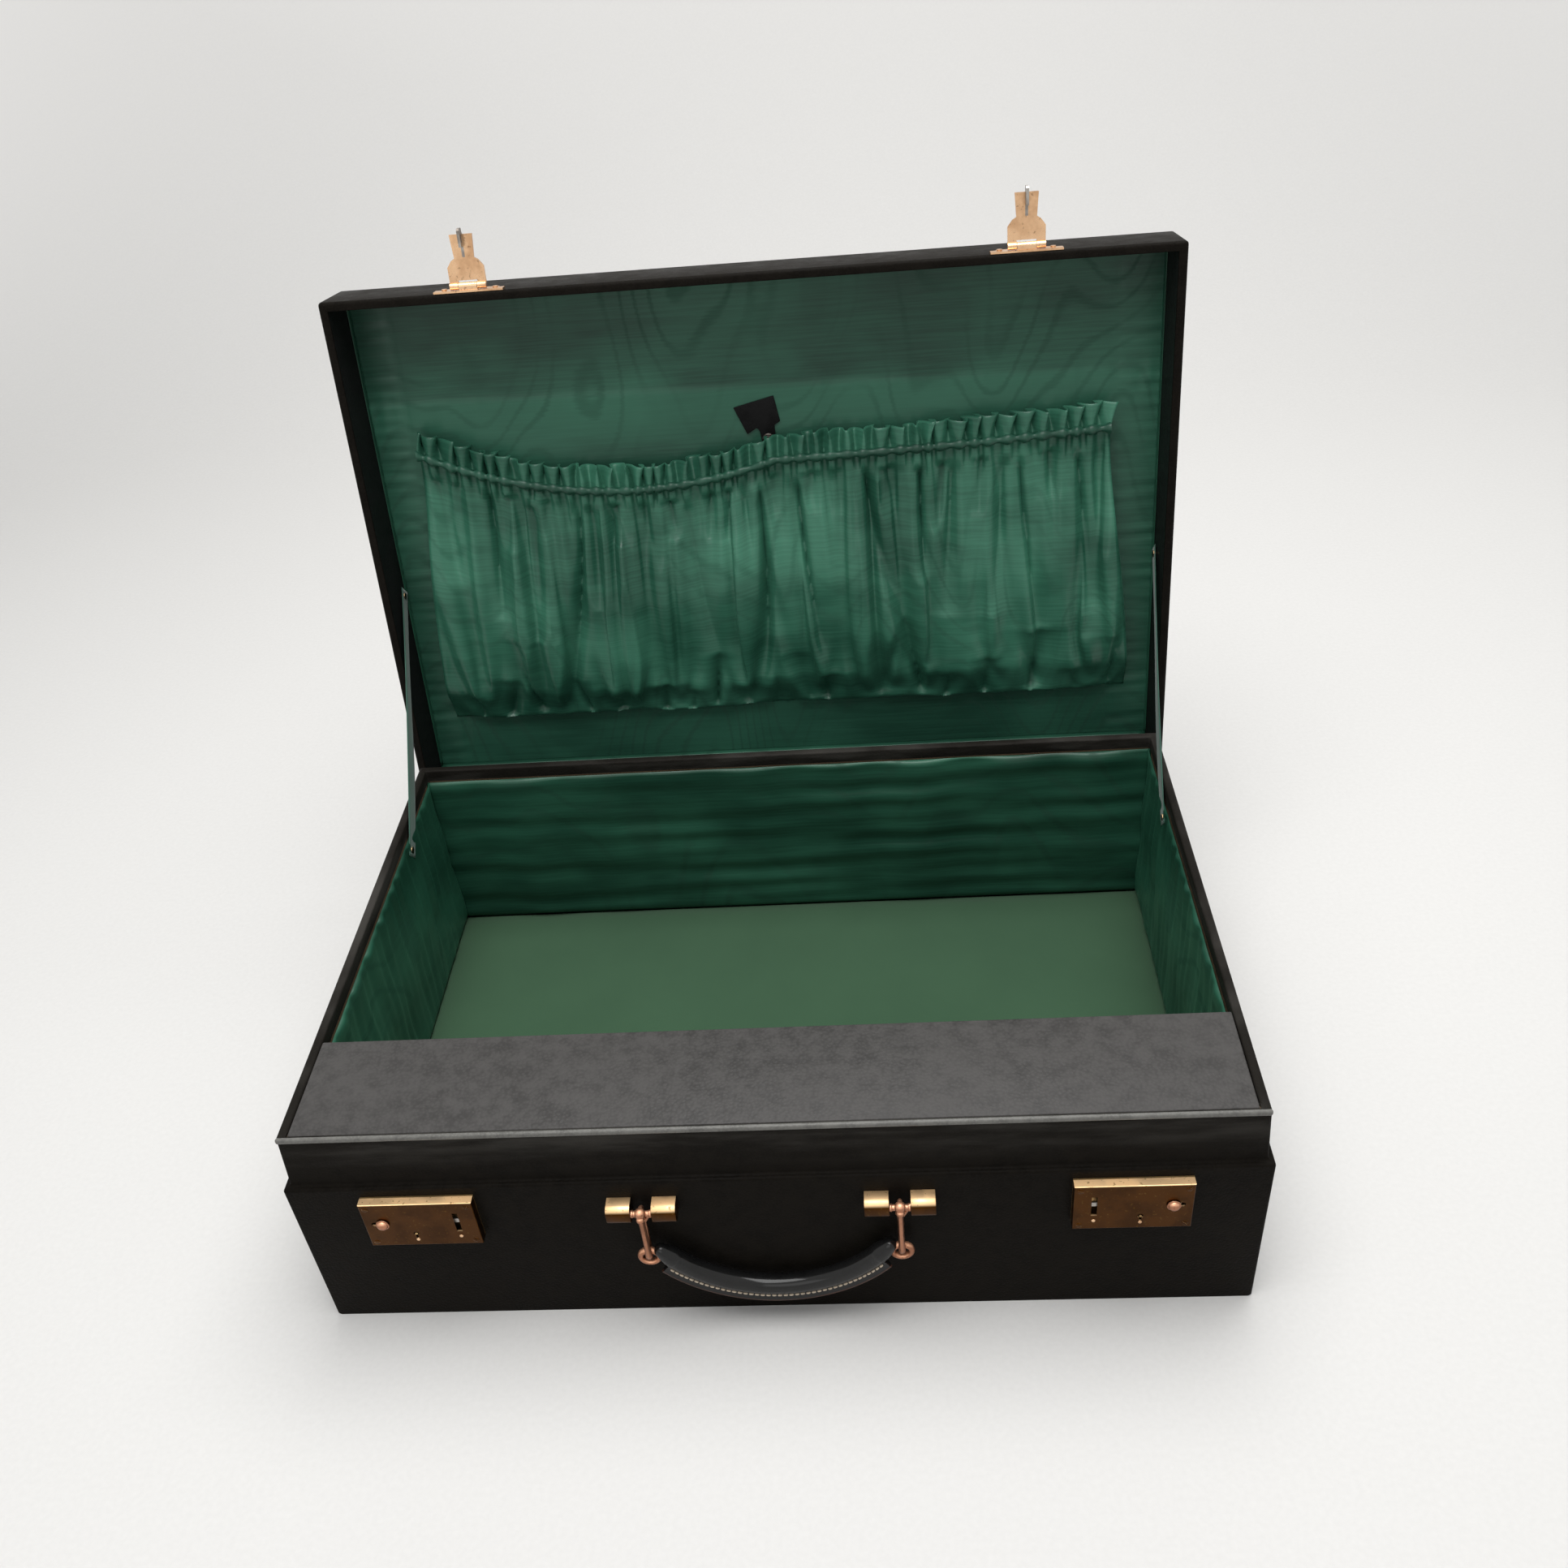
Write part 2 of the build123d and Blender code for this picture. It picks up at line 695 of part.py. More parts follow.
with BuildPart() as pocket:
    with BuildSketch(lid_section(-pocket_half_width)):
        Polygon(*pocket_outside, *pocket_inside, align=None)
    extrude(amount=2 * pocket_half_width)
    for x in (-pocket_half_width, pocket_half_width - pocket_cloth):
        with BuildSketch(lid_section(x)):
            Polygon(*pocket_outside, (-pocket_mouth, lid_panel_low), align=None)
        extrude(amount=pocket_cloth)
finish(pocket, "pocket")

with BuildPart() as pocket_tab:
    with BuildSketch(lid_at(lid_panel_low - tab_thickness)):
        Polygon(
            (-tab_width / 2 - tab_lean, -tab_high),
            (tab_width / 2 - tab_lean, -tab_high),
            (tab_width / 2 - tab_taper, -tab_low),
            (stud_position[0] + tab_tongue_width / 2, -stud_position[1] + tab_tongue_width / 2),
            (stud_position[0] - tab_tongue_width / 2, -stud_position[1] + tab_tongue_width / 2),
            (-tab_width / 2 + tab_taper, -tab_low),
            align=None,
        )
    extrude(amount=tab_thickness)
    with BuildSketch(lid_at(lid_panel_low)):
        with Locations((stud_position[0], -stud_position[1])):
            Circle(stud_shank + hole_clearance)
    extrude(amount=-tab_thickness, mode=Mode.SUBTRACT)
finish(pocket_tab, "pocket_tab")

with BuildPart() as tab_stud:
    with BuildSketch(lid_at(lid_panel_low)):
        with Locations((stud_position[0], -stud_position[1])):
            Circle(stud_shank)
    extrude(amount=-tab_thickness)
    with BuildSketch(lid_at(lid_panel_low - tab_thickness)):
        with Locations((stud_position[0], -stud_position[1])):
            Circle(stud_radius)
    extrude(amount=-stud_height)
    stud_face = tab_stud.faces().filter_by(LID).sort_by(Axis(LID.origin, LID.z_dir))[0]
    fillet(stud_face.edges(), stud_round)
finish(tab_stud, "tab_stud")

# ---- Hinges ------------------------------------------------------------------------------------
third = hinge_width / 3


def knuckle(plane, low, high):
    """One barrel of a hinge, along the hinge's axis."""
    with BuildSketch(plane) as barrel_end:
        Circle(knuckle_radius)
    extrude(barrel_end.sketch, amount=high - low)


with BuildPart() as hinge_leaves_body:
    for x in hinge_places:
        face = half_d
        step_out = hinge_y - knuckle_radius
        leaf_top = hinge_z - leaf_bend_drop + leaf_bend_rise
        with BuildSketch(side_section(x - hinge_width / 2)):
            Polygon(
                (face, hinge_z - hinge_leaf_height),
                (face + hinge_leaf, hinge_z - hinge_leaf_height),
                (face + hinge_leaf, hinge_z - leaf_bend_drop),
                (face + hinge_leaf + leaf_bend_out, leaf_top),
                (face, leaf_top),
                align=None,
            )
        extrude(amount=hinge_width)
        with BuildSketch(side_section(x - third / 2 + knuckle_gap)):
            Polygon(
                (face, hinge_z - leaf_bend_drop),
                (face + hinge_leaf, hinge_z - leaf_bend_drop),
                (hinge_y, hinge_z - knuckle_radius),
                (step_out + crook_nip, hinge_z - crook_nip),
                (face + crook_in, hinge_z - crook_drop),
                align=None,
            )
        extrude(amount=third - 2 * knuckle_gap)
        barrel = Plane(
            origin=(x - third / 2 + knuckle_gap, hinge_y, hinge_z), x_dir=(0, 1, 0), z_dir=(1, 0, 0)
        )
        knuckle(barrel, 0, third - 2 * knuckle_gap)
        with BuildSketch(barrel):
            Circle(hinge_pin_radius)
        extrude(amount=third, mode=Mode.SUBTRACT)
    back_leaf = Plane(origin=(0, half_d, 0), x_dir=(1, 0, 0), z_dir=(0, -1, 0))
    drill(back_leaf, body_hinge_screws, screw_shank + hole_clearance, hinge_leaf + hole_end)
    drill(back_leaf, body_hinge_screws, screw_shank + hole_clearance, -hinge_leaf - hole_end)
finish(hinge_leaves_body, "hinge_leaves_body")

with BuildPart() as hinge_leaves_lid:
    for x in hinge_places:
        lid_block(
            (x - hinge_width / 2, lid_back_face, lid_rim),
            (x + hinge_width / 2, lid_back_face + hinge_leaf, hinge_leaf_height),
        )
        lid_block(
            (x - third / 2, lid_back_face - hole_end, 0),
            (x + third / 2, knuckle_radius, knuckle_radius + knuckle_gap),
            Mode.SUBTRACT,
        )
        for start in (x - hinge_width / 2, x + third / 2):
            barrel = Plane(origin=(start, hinge_y, hinge_z), x_dir=(0, 1, 0), z_dir=(1, 0, 0))
            knuckle(barrel, 0, third)
            lid_block(
                (start, lid_back_face + knuckle_gap, crook_in),
                (start + third, lid_back_face + hinge_leaf, lid_leaf_relief),
            )
            with BuildSketch(barrel):
                Circle(hinge_pin_radius + pin_clearance)
            extrude(amount=third, mode=Mode.SUBTRACT)
    drill(lid_back_wall, lid_hinge_screws, screw_shank + hole_clearance, -hinge_leaf - hole_end)
    drill(lid_back_wall, lid_hinge_screws, screw_shank + hole_clearance, hinge_leaf + hole_end)
finish(hinge_leaves_lid, "hinge_leaves_lid")

with BuildPart() as hinge_pins:
    for x in hinge_places:
        start = x - hinge_width / 2
        with BuildSketch(Plane(origin=(start, hinge_y, hinge_z), z_dir=(1, 0, 0))):
            Circle(hinge_pin_radius)
        extrude(amount=hinge_width)
finish(hinge_pins, "hinge_pins")

with BuildPart() as hinge_screws_body:
    leaf_face = Plane(origin=(0, half_d + hinge_leaf, 0), x_dir=(1, 0, 0), z_dir=(0, -1, 0))
    with BuildSketch(leaf_face):
        with Locations(*body_hinge_screws):
            Circle(screw_head)
    extrude(amount=-screw_head_height)
    with BuildSketch(leaf_face):
        with Locations(*body_hinge_screws):
            Circle(screw_shank)
    extrude(amount=hinge_screw_length)
finish(hinge_screws_body, "hinge_screws_body")

with BuildPart() as hinge_screws_lid:
    leaf_face = lid_back_wall.offset(-hinge_leaf)
    with BuildSketch(leaf_face):
        with Locations(*lid_hinge_screws):
            Circle(screw_head)
    extrude(amount=-screw_head_height)
    with BuildSketch(leaf_face):
        with Locations(*lid_hinge_screws):
            Circle(screw_shank)
    extrude(amount=hinge_screw_length)
finish(hinge_screws_lid, "hinge_screws_lid")

# ---- Locks -------------------------------------------------------------------------------------


def lock_cover(side):
    """A box lock's cover: raised face and four edges, slotted for the hook, the key and the button."""
    middle = side * lock_spacing
    slot_x = middle - side * hasp_offset
    with BuildPart() as cover:
        block(
            (middle - lock_width / 2, lock_front, lock_low),
            (middle + lock_width / 2, lock_cover_back, lock_low + lock_height),
        )
        fillet(cover.faces().sort_by(Axis.Y)[0].edges(), lock_edge_round)
        block(
            (middle - lock_width / 2 + lock_wall, lock_front + lock_wall, lock_low + lock_wall),
            (
                middle + lock_width / 2 - lock_wall,
                lock_cover_back,
                lock_low + lock_height - lock_wall,
            ),
            Mode.SUBTRACT,
        )
        front = front_section(lock_front)
        with BuildSketch(front):
            with Locations((slot_x, (slot_low + slot_high) / 2)):
                Rectangle(slot_width, slot_high - slot_low)
            with Locations((middle + side * keyhole_offset, keyhole_height)):
                Circle(keyhole_radius)
            slit_middle = keyhole_height - keyhole_radius - 1
            with Locations((middle + side * keyhole_offset, slit_middle)):
                Rectangle(keyhole_slit, keyhole_slit_length)
            button_middle = middle + side * (button_offset + button_travel / 2)
            with Locations((button_middle, bolt_height)):
                SlotOverall(button_travel + button_slot, button_slot)
        extrude(amount=-lock_wall, mode=Mode.SUBTRACT)
        spots = [s for s in lock_screw_spots if s[0] * side > 0]
        drill(front, spots, screw_shank + hole_clearance, lock_wall + hole_end)
    return cover


for side, name in ((-1, "lock_cover_left"), (1, "lock_cover_right")):
    finish(lock_cover(side), name)

with BuildPart() as lock_backplates:
    for side in (-1, 1):
        middle = side * lock_spacing
        block(
            (middle - lock_width / 2, lock_cover_back, lock_low),
            (middle + lock_width / 2, lock_back, lock_low + lock_height),
        )
        with BuildSketch(front_section(lock_cover_back)):
            with Locations((middle + side * keyhole_offset, keyhole_height)):
                Circle(key_pin_radius)
        extrude(amount=lock_proud - lock_wall)
    drill(front_section(lock_cover_back), lock_screw_spots, screw_shank + hole_clearance, lock_wall)
finish(lock_backplates, "lock_backplates")

with BuildPart() as lock_screws:
    with BuildSketch(front_section(lock_front)):
        with Locations(*lock_screw_spots):
            Circle(screw_head * 0.8)
    extrude(amount=screw_head_height * 0.75)
    with BuildSketch(front_section(lock_front)):
        with Locations(*lock_screw_spots):
            Circle(screw_shank)
    extrude(amount=-lock_proud - lock_screw_length * 0.6)
finish(lock_screws, "lock_screws")


def lock_bolt(side):
    """The sliding bolt: its nose crosses the hook's slot, its other end carries the button."""
    middle = side * lock_spacing
    nose = middle - side * (hasp_offset + bolt_nose)
    tail = middle + side * (button_offset + bolt_tail)
    x = sorted((nose, tail))
    low_y = bolt_y - bolt_thickness / 2
    with BuildPart() as bolt:
        block(
            (x[0], low_y, bolt_height - bolt_width / 2),
            (x[1], low_y + bolt_thickness, bolt_height + bolt_width / 2),
        )
        body_x = sorted((middle - side * hasp_offset * 0.5, tail))
        block(
            (body_x[0], low_y, bolt_height - bolt_width / 2),
            (body_x[1], low_y + bolt_thickness, bolt_height + bolt_width * 1.1),
        )
    return bolt


for side, name in ((-1, "lock_bolt_left"), (1, "lock_bolt_right")):
    finish(lock_bolt(side), name)


def lock_button(side):
    """The round thumb button, on a neck that runs in the cover's slot."""
    spot = (side * (lock_spacing + button_offset), bolt_height)
    with BuildPart() as button:
        with BuildSketch(front_section(lock_front - button_gap)):
            with Locations(spot):
                Circle(button_radius)
        extrude(amount=button_height)
        fillet(button.faces().sort_by(Axis.Y)[0].edges(), button_height * 0.45)
        with BuildSketch(front_section(lock_front - button_gap)):
            with Locations(spot):
                Circle(button_neck)
        extrude(amount=-(bolt_y - bolt_thickness / 2 - lock_front + button_gap))
    return button


for side, name in ((-1, "lock_button_left"), (1, "lock_button_right")):
    finish(lock_button(side), name)

with BuildPart() as lock_springs:
    for side in (-1, 1):
        tail = side * (lock_spacing + button_offset + bolt_tail)
        wall = side * (lock_spacing + lock_width / 2 - lock_wall)
        foot = bolt_height - bolt_width / 2
        bend = foot + spring_foot
        seat = bend + spring_rise
        with BuildSketch(front_section(bolt_y - bolt_thickness / 2)):
            strip = [
                (tail, foot),
                (tail, bend),
                (wall - side * spring_thickness, seat),
                (wall - side * spring_thickness, seat + spring_seat),
                (wall, seat + spring_seat),
                (wall, seat - spring_thickness / 2),
                (tail + side * spring_thickness, bend - spring_thickness / 2),
                (tail + side * spring_thickness, foot),
            ]
            Polygon(*strip[::-side], align=None)
        extrude(amount=-bolt_thickness)
finish(lock_springs, "lock_springs")

# ---- Hasps -------------------------------------------------------------------------------------
# The hasps stand straight out from the lid's front wall. In the lid's frame a hasp reaches along
# -Y from its axis, and its inner side faces the rim, along -Z.
with BuildPart() as hasp_plates:
    for x in hasp_spots:
        lid_block(
            (x - hasp_plate_width / 2, lid_front_face - hasp_plate_thickness, lid_strip_low),
            (x + hasp_plate_width / 2, lid_front_face, lid_strip_low + hasp_plate_height),
        )
        for way in (-1, 1):
            end = x + way * hasp_plate_width / 2
            top = lid_strip_low + hasp_plate_height
            lid_block(
                (end - hasp_corner_cut, lid_front_face - hasp_corner_cut, top - hasp_corner_drop),
                (end + hasp_corner_cut, lid_front_face + hasp_corner_cut, top + hasp_corner_over),
                Mode.SUBTRACT,
            )
        tongue = x - hasp_tongue_width / 2
        lid_block(
            (tongue, hasp_axis_y, hasp_axis_height - hasp_knuckle_radius),
            (
                tongue + hasp_tongue_width,
                lid_front_face - hasp_plate_thickness,
                hasp_axis_height + hasp_knuckle_radius,
            ),
        )
        barrel = lid_section(tongue)
        with BuildSketch(barrel):
            with Locations((hasp_axis_y, hasp_axis_height)):
                Circle(hasp_knuckle_radius)
        extrude(amount=hasp_tongue_width)
        with BuildSketch(barrel):
            with Locations((hasp_axis_y, hasp_axis_height)):
                Circle(hasp_pin_radius)
        extrude(amount=hasp_tongue_width, mode=Mode.SUBTRACT)
    drill(
        lid_front_wall.offset(hasp_plate_thickness),
        hasp_rivet_spots,
        screw_shank + hole_clearance,
        hasp_plate_thickness,
    )
finish(hasp_plates, "hasp_plates")

with BuildPart() as hasp_rivets:
    with BuildSketch(lid_front_wall.offset(hasp_plate_thickness)):
        with Locations(*hasp_rivet_spots):
            Circle(screw_head * 0.8)
    extrude(amount=screw_head_height)
    with BuildSketch(lid_front_wall.offset(hasp_plate_thickness)):
        with Locations(*hasp_rivet_spots):
            Circle(screw_shank)
    extrude(amount=-hasp_plate_thickness - leather - lid_board)
finish(hasp_rivets, "hasp_rivets")

with BuildPart() as hasp_pins:
    for x in hasp_spots:
        with BuildSketch(lid_section(x - hasp_shoulder_width / 2)):
            with Locations((hasp_axis_y, hasp_axis_height)):
                Circle(hasp_pin_radius)
        extrude(amount=hasp_shoulder_width)
finish(hasp_pins, "hasp_pins")

leaf_low = hasp_axis_height + hasp_leaf_gap
leaf_high = hasp_axis_height + hasp_knuckle_radius


def hasp_leaf(x):
    """A hasp's leaf: two arms round the pin, wide shoulders, and a narrower split tip."""
    shoulder = hasp_shoulder_width / 2
    tip = hasp_tip_width / 2
    slope_y = hasp_axis_y - hasp_shoulder_reach + hasp_shoulder_slope
    waist_y = hasp_axis_y - hasp_shoulder_reach - hasp_waist_drop
    with BuildPart() as leaf:
        with BuildSketch(lid_at(leaf_low)):
            Polygon(
                (x - shoulder, hasp_axis_y),
                (x - shoulder, slope_y),
                (x - shoulder + hasp_shoulder_chamfer, hasp_axis_y - hasp_shoulder_reach),
                (x - tip + hasp_waist_in, waist_y),
                (x - tip, hasp_axis_y - hasp_reach),
                (x + tip, hasp_axis_y - hasp_reach),
                (x + tip - hasp_waist_in, waist_y),
                (x + shoulder - hasp_shoulder_chamfer, hasp_axis_y - hasp_shoulder_reach),
                (x + shoulder, slope_y),
                (x + shoulder, hasp_axis_y),
                align=None,
            )
            with Locations((x, hasp_axis_y)):
                Rectangle(
                    hasp_tongue_width + 2 * knuckle_gap,
                    2 * hasp_knuckle_radius + hasp_fork_room,
                    mode=Mode.SUBTRACT,
                )
            with Locations((x, hasp_axis_y - (hook_split_start + hasp_reach) / 2)):
                Rectangle(
                    hook_thickness, hasp_reach - hook_split_start + 0.01, mode=Mode.SUBTRACT
                )
        extrude(amount=leaf_high - leaf_low)
        for way in (-1, 1):
            arm = sorted((x + way * shoulder, x + way * (hasp_tongue_width / 2 + knuckle_gap)))
            with BuildSketch(lid_section(arm[0])):
                with Locations((hasp_axis_y, hasp_axis_height)):
                    Circle(hasp_knuckle_radius)
            extrude(amount=arm[1] - arm[0])
            with BuildSketch(lid_section(arm[0])):
                with Locations((hasp_axis_y, hasp_axis_height)):
                    Circle(hasp_pin_radius + pin_clearance)
            extrude(amount=arm[1] - arm[0], mode=Mode.SUBTRACT)
    return leaf


def hasp_hook(x):
    """The steel hook in the leaf's split, with an eye that the bolt's nose enters."""
    eye_reach = hinge_z + hasp_axis_height - bolt_height
    bolt_depth = bolt_y - (hinge_y + hasp_axis_y)
    with BuildPart() as hook:
        with BuildSketch(lid_section(x - hook_thickness / 2)):
            Polygon(
                (hasp_axis_y - hook_split_start, leaf_high),
                (hasp_axis_y - hook_split_start, leaf_low),
                (hasp_axis_y - hook_start, leaf_low),
                (hasp_axis_y - hook_start, hasp_axis_height - hook_inner),
                (hasp_axis_y - hook_reach + hook_chamfer, hasp_axis_height - hook_inner),
                (hasp_axis_y - hook_reach, hasp_axis_height - hook_inner + hook_chamfer),
                (hasp_axis_y - hook_reach, leaf_low + hasp_leaf_gap),
                (hasp_axis_y - hasp_reach, leaf_high),
                align=None,
            )
            with Locations((hasp_axis_y - eye_reach, hasp_axis_height - bolt_depth)):
                Rectangle(
                    bolt_width + hook_eye_width_room,
                    bolt_thickness + hook_eye_depth_room,
                    mode=Mode.SUBTRACT,
                )
        extrude(amount=hook_thickness)
    return hook


for x, name in zip(hasp_spots, ("left", "right")):
    finish(hasp_leaf(x), f"hasp_leaf_{name}")
    finish(hasp_hook(x), f"hasp_hook_{name}")

# ---- Handle ------------------------------------------------------------------------------------
mount_front = handle_axis_y - handle_pin_radius - mount_wall
with BuildPart() as handle_mounts:
    for x in mount_block_spots:
        block(
            (x - mount_block_width / 2, mount_front, mount_low),
            (x + mount_block_width / 2, -half_d, mount_low + mount_height),
        )
    front_edges = handle_mounts.edges().filter_by(Axis.X).group_by(Axis.Y)[0]
    fillet(front_edges, mount_round)
    for x in mount_block_spots:
        with BuildSketch(side_section(x - mount_block_width / 2)):
            with Locations((handle_axis_y, handle_axis_height)):
                Circle(handle_pin_radius)
        extrude(amount=mount_block_width, mode=Mode.SUBTRACT)
    drill(
        front_section(-half_d - mount_rivet_depth),
        mount_rivet_spots,
        mount_rivet_radius + hole_clearance,
        mount_rivet_depth,
    )
finish(handle_mounts, "handle_mounts")

with BuildPart() as handle_rivets:
    burr_face = front_section(-mouth_half_d)
    with BuildSketch(front_section(-half_d - mount_rivet_depth)):
        with Locations(*mount_rivet_spots):
            Circle(mount_rivet_radius)
    extrude(amount=-(half_d + mount_rivet_depth - mouth_half_d))
    with BuildSketch(burr_face):
        with Locations(*mount_rivet_spots):
            Circle(burr_radius)
    extrude(amount=-burr_thickness)
finish(handle_rivets, "handle_rivets")

with BuildPart() as handle_pins:
    for side in (-1, 1):
        span = mount_gap + 2 * mount_block_width
        with BuildSketch(side_section(side * handle_spacing - span / 2)):
            with Locations((handle_axis_y, handle_axis_height)):
                Circle(handle_pin_radius)
        extrude(amount=span)
finish(handle_pins, "handle_pins")

bend = handle_pin_radius + shackle_clearance + shackle_wire
with BuildPart() as shackles:
    for side in (-1, 1):
        x = side * handle_spacing
        with BuildLine(side_section(x)):
            top = (handle_axis_y, handle_axis_height + bend)
            foot = (handle_axis_y, eye_height - bend)
            Line((handle_axis_y - bend, handle_axis_height), (handle_axis_y - bend, eye_height))
            ThreePointArc(
                (handle_axis_y - bend, eye_height), foot, (handle_axis_y + bend, eye_height)
            )
            Line((handle_axis_y + bend, eye_height), (handle_axis_y + bend, handle_axis_height))
            ThreePointArc(
                (handle_axis_y + bend, handle_axis_height),
                top,
                (handle_axis_y - bend, handle_axis_height),
            )
        with BuildSketch(Plane.XY.offset(handle_axis_height)):
            with Locations((x, handle_axis_y - bend)):
                Circle(shackle_wire)
        sweep()
        with Locations((x, handle_axis_y - bend - ball_out, handle_axis_height)):
            Sphere(ball_radius)
        with BuildSketch(side_section(x - ball_radius)):
            with Locations((handle_axis_y, handle_axis_height)):
                Circle(handle_pin_radius + shackle_clearance)
        extrude(amount=2 * ball_radius, mode=Mode.SUBTRACT)
finish(shackles, "shackles")

grip_end_x = handle_spacing - grip_end_in
eye_middle = eye_height - eye_radius
grip_end_height = eye_middle - grip_end_drop
grip_arc_middle = (0.0, grip_sag_height)
sag = grip_end_height - grip_sag_height
arc_radius = (grip_end_x**2 + sag**2) / (2 * sag)
arc_centre = grip_sag_height + arc_radius
end_slope = Vector(arc_centre - grip_end_height, grip_end_x)  # along the grip, at its right end

with BuildPart() as handle_grip:
    with BuildLine(front_section(handle_axis_y)):
        ThreePointArc(
            (-grip_end_x, grip_end_height), grip_arc_middle, (grip_end_x, grip_end_height)
        )
    start_plane = Plane(
        origin=(-grip_end_x, handle_axis_y, grip_end_height),
        z_dir=(end_slope.X, 0, -end_slope.Y),
    )
    with BuildSketch(start_plane):
        Circle(grip_radius)
    sweep()
    fillet(handle_grip.edges().filter_by(GeomType.CIRCLE), grip_end_round)
finish(handle_grip, "handle_grip")

with BuildPart() as handle_eyes:
    for side in (-1, 1):
        x = side * handle_spacing
        eye_plane = Plane(
            origin=(x, handle_axis_y, eye_middle), x_dir=(1, 0, 0), z_dir=(0, -1, 0)
        )
        with BuildSketch(Plane.YZ.offset(x)):
            with Locations((handle_axis_y, eye_height)):
                Circle(eye_wire)
        revolve(axis=Axis((x, handle_axis_y, eye_middle), (0, 1, 0)))
        ferrule = Plane(
            origin=(side * grip_end_x, handle_axis_y, grip_end_height),
            z_dir=(side * end_slope.X, 0, end_slope.Y),
        )
        with BuildSketch(ferrule):
            Circle(ferrule_radius)
        extrude(amount=ferrule_length)
        with BuildSketch(eye_plane):
            Circle(eye_radius - eye_wire)
        extrude(amount=grip_radius, both=True, mode=Mode.SUBTRACT)
finish(handle_eyes, "handle_eyes")

# ---- Ribbon stays ------------------------------------------------------------------------------


def stay_ends(side):
    """Where a stay's middle line meets the lid and the body."""
    lid_x = side * (lid_strip_half_w - lid_lining_thickness - stay_gap_lid - stay_thickness / 2)
    body_x = side * (well_half_w - stay_gap_body - stay_thickness / 2)
    upper = LID.from_local_coords(Vector(lid_x, -stay_lid_reach, stay_lid_height))
    lower = Vector(body_x, stay_body_y, stay_body_z)
    return upper, lower


def stay(side):
    """A ribbon pulled tight between its two rivets, its face towards the middle of the case."""
    upper, lower = stay_ends(side)
    along = upper - lower
    flat = along.cross(Vector(1, 0, 0)).normalized()
    face = along.cross(flat).normalized()
    with BuildPart() as ribbon:
        with BuildSketch(Plane(origin=(upper + lower) / 2, x_dir=along, z_dir=face)):
            Rectangle(along.length + 2 * stay_tail, stay_width)
        extrude(amount=stay_thickness / 2, both=True)
        drill(side_section(side * far), stay_body_spot, screw_shank + hole_clearance, far * side)
        drill(lid_section(side * far), stay_lid_spot, screw_shank + hole_clearance, far * side)
    return ribbon


for side, name in ((-1, "stay_left"), (1, "stay_right")):
    finish(stay(side), name)


def stay_rivet(plane_at, spots, side, inner_x, shank_length):
    """A round-headed rivet that holds a stay's end to the wall behind it."""
    with BuildSketch(plane_at(side * inner_x)) as head:
        with Locations(*spots):
            Circle(stay_rivet_head)
    extrude(head.sketch, amount=-side * stay_rivet_head_height)
    with BuildSketch(plane_at(side * inner_x)) as shank:
        with Locations(*spots):
            Circle(screw_shank)
    extrude(shank.sketch, amount=side * shank_length)


stay_face_body = well_half_w - stay_gap_body - stay_thickness - stay_rivet_gap
stay_face_lid = (
    lid_strip_half_w - lid_lining_thickness - stay_gap_lid - stay_thickness - stay_rivet_gap
)
with BuildPart() as stay_rivets_body:
    for side in (-1, 1):
        stay_rivet(side_section, stay_body_spot, side, stay_face_body, stay_rivet_body_length)
finish(stay_rivets_body, "stay_rivets_body")

with BuildPart() as stay_rivets_lid:
    for side in (-1, 1):
        stay_rivet(lid_section, stay_lid_spot, side, stay_face_lid, stay_rivet_lid_length)
finish(stay_rivets_lid, "stay_rivets_lid")
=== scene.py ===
# %% [markdown]
# # A leather dressing case, dressed for its portrait
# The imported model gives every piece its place. Here the case gets its looks: grained black leather,
# watered green silk, a gathered pocket and worn gilt fittings. Everything is in metres.

# %% Load the frame
import json
import math
import random

import bpy
import numpy as np
from mathutils import Matrix, Vector


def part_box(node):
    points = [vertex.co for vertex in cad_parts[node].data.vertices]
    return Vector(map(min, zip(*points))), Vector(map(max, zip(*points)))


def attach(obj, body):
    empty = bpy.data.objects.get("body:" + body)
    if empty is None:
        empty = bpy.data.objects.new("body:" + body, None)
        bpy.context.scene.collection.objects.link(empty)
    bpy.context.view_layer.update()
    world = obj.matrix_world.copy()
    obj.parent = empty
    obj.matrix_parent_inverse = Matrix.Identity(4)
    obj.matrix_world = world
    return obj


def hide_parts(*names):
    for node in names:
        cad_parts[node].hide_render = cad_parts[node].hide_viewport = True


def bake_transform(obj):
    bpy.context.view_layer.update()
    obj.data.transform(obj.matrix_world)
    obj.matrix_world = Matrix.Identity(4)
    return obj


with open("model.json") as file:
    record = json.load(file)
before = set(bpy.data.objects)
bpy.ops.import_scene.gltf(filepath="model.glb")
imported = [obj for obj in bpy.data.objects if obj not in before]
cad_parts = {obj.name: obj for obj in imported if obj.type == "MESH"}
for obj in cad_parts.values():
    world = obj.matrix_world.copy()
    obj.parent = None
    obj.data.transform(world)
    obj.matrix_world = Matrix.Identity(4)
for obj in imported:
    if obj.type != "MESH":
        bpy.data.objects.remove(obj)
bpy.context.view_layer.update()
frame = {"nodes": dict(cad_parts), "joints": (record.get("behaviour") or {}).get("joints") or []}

NODES = frame["nodes"]
JOINTS = {joint["name"]: joint for joint in frame["joints"]}
MM = 0.001
SIDES = ((-1, "left"), (1, "right"))

# %% [markdown]
# The lid stands open, so its pieces are easiest to draw as if the lid lay flat. `LID` carries them to
# their real place: x stays x, y runs towards the hinge, and z is the height above the lid's rim.

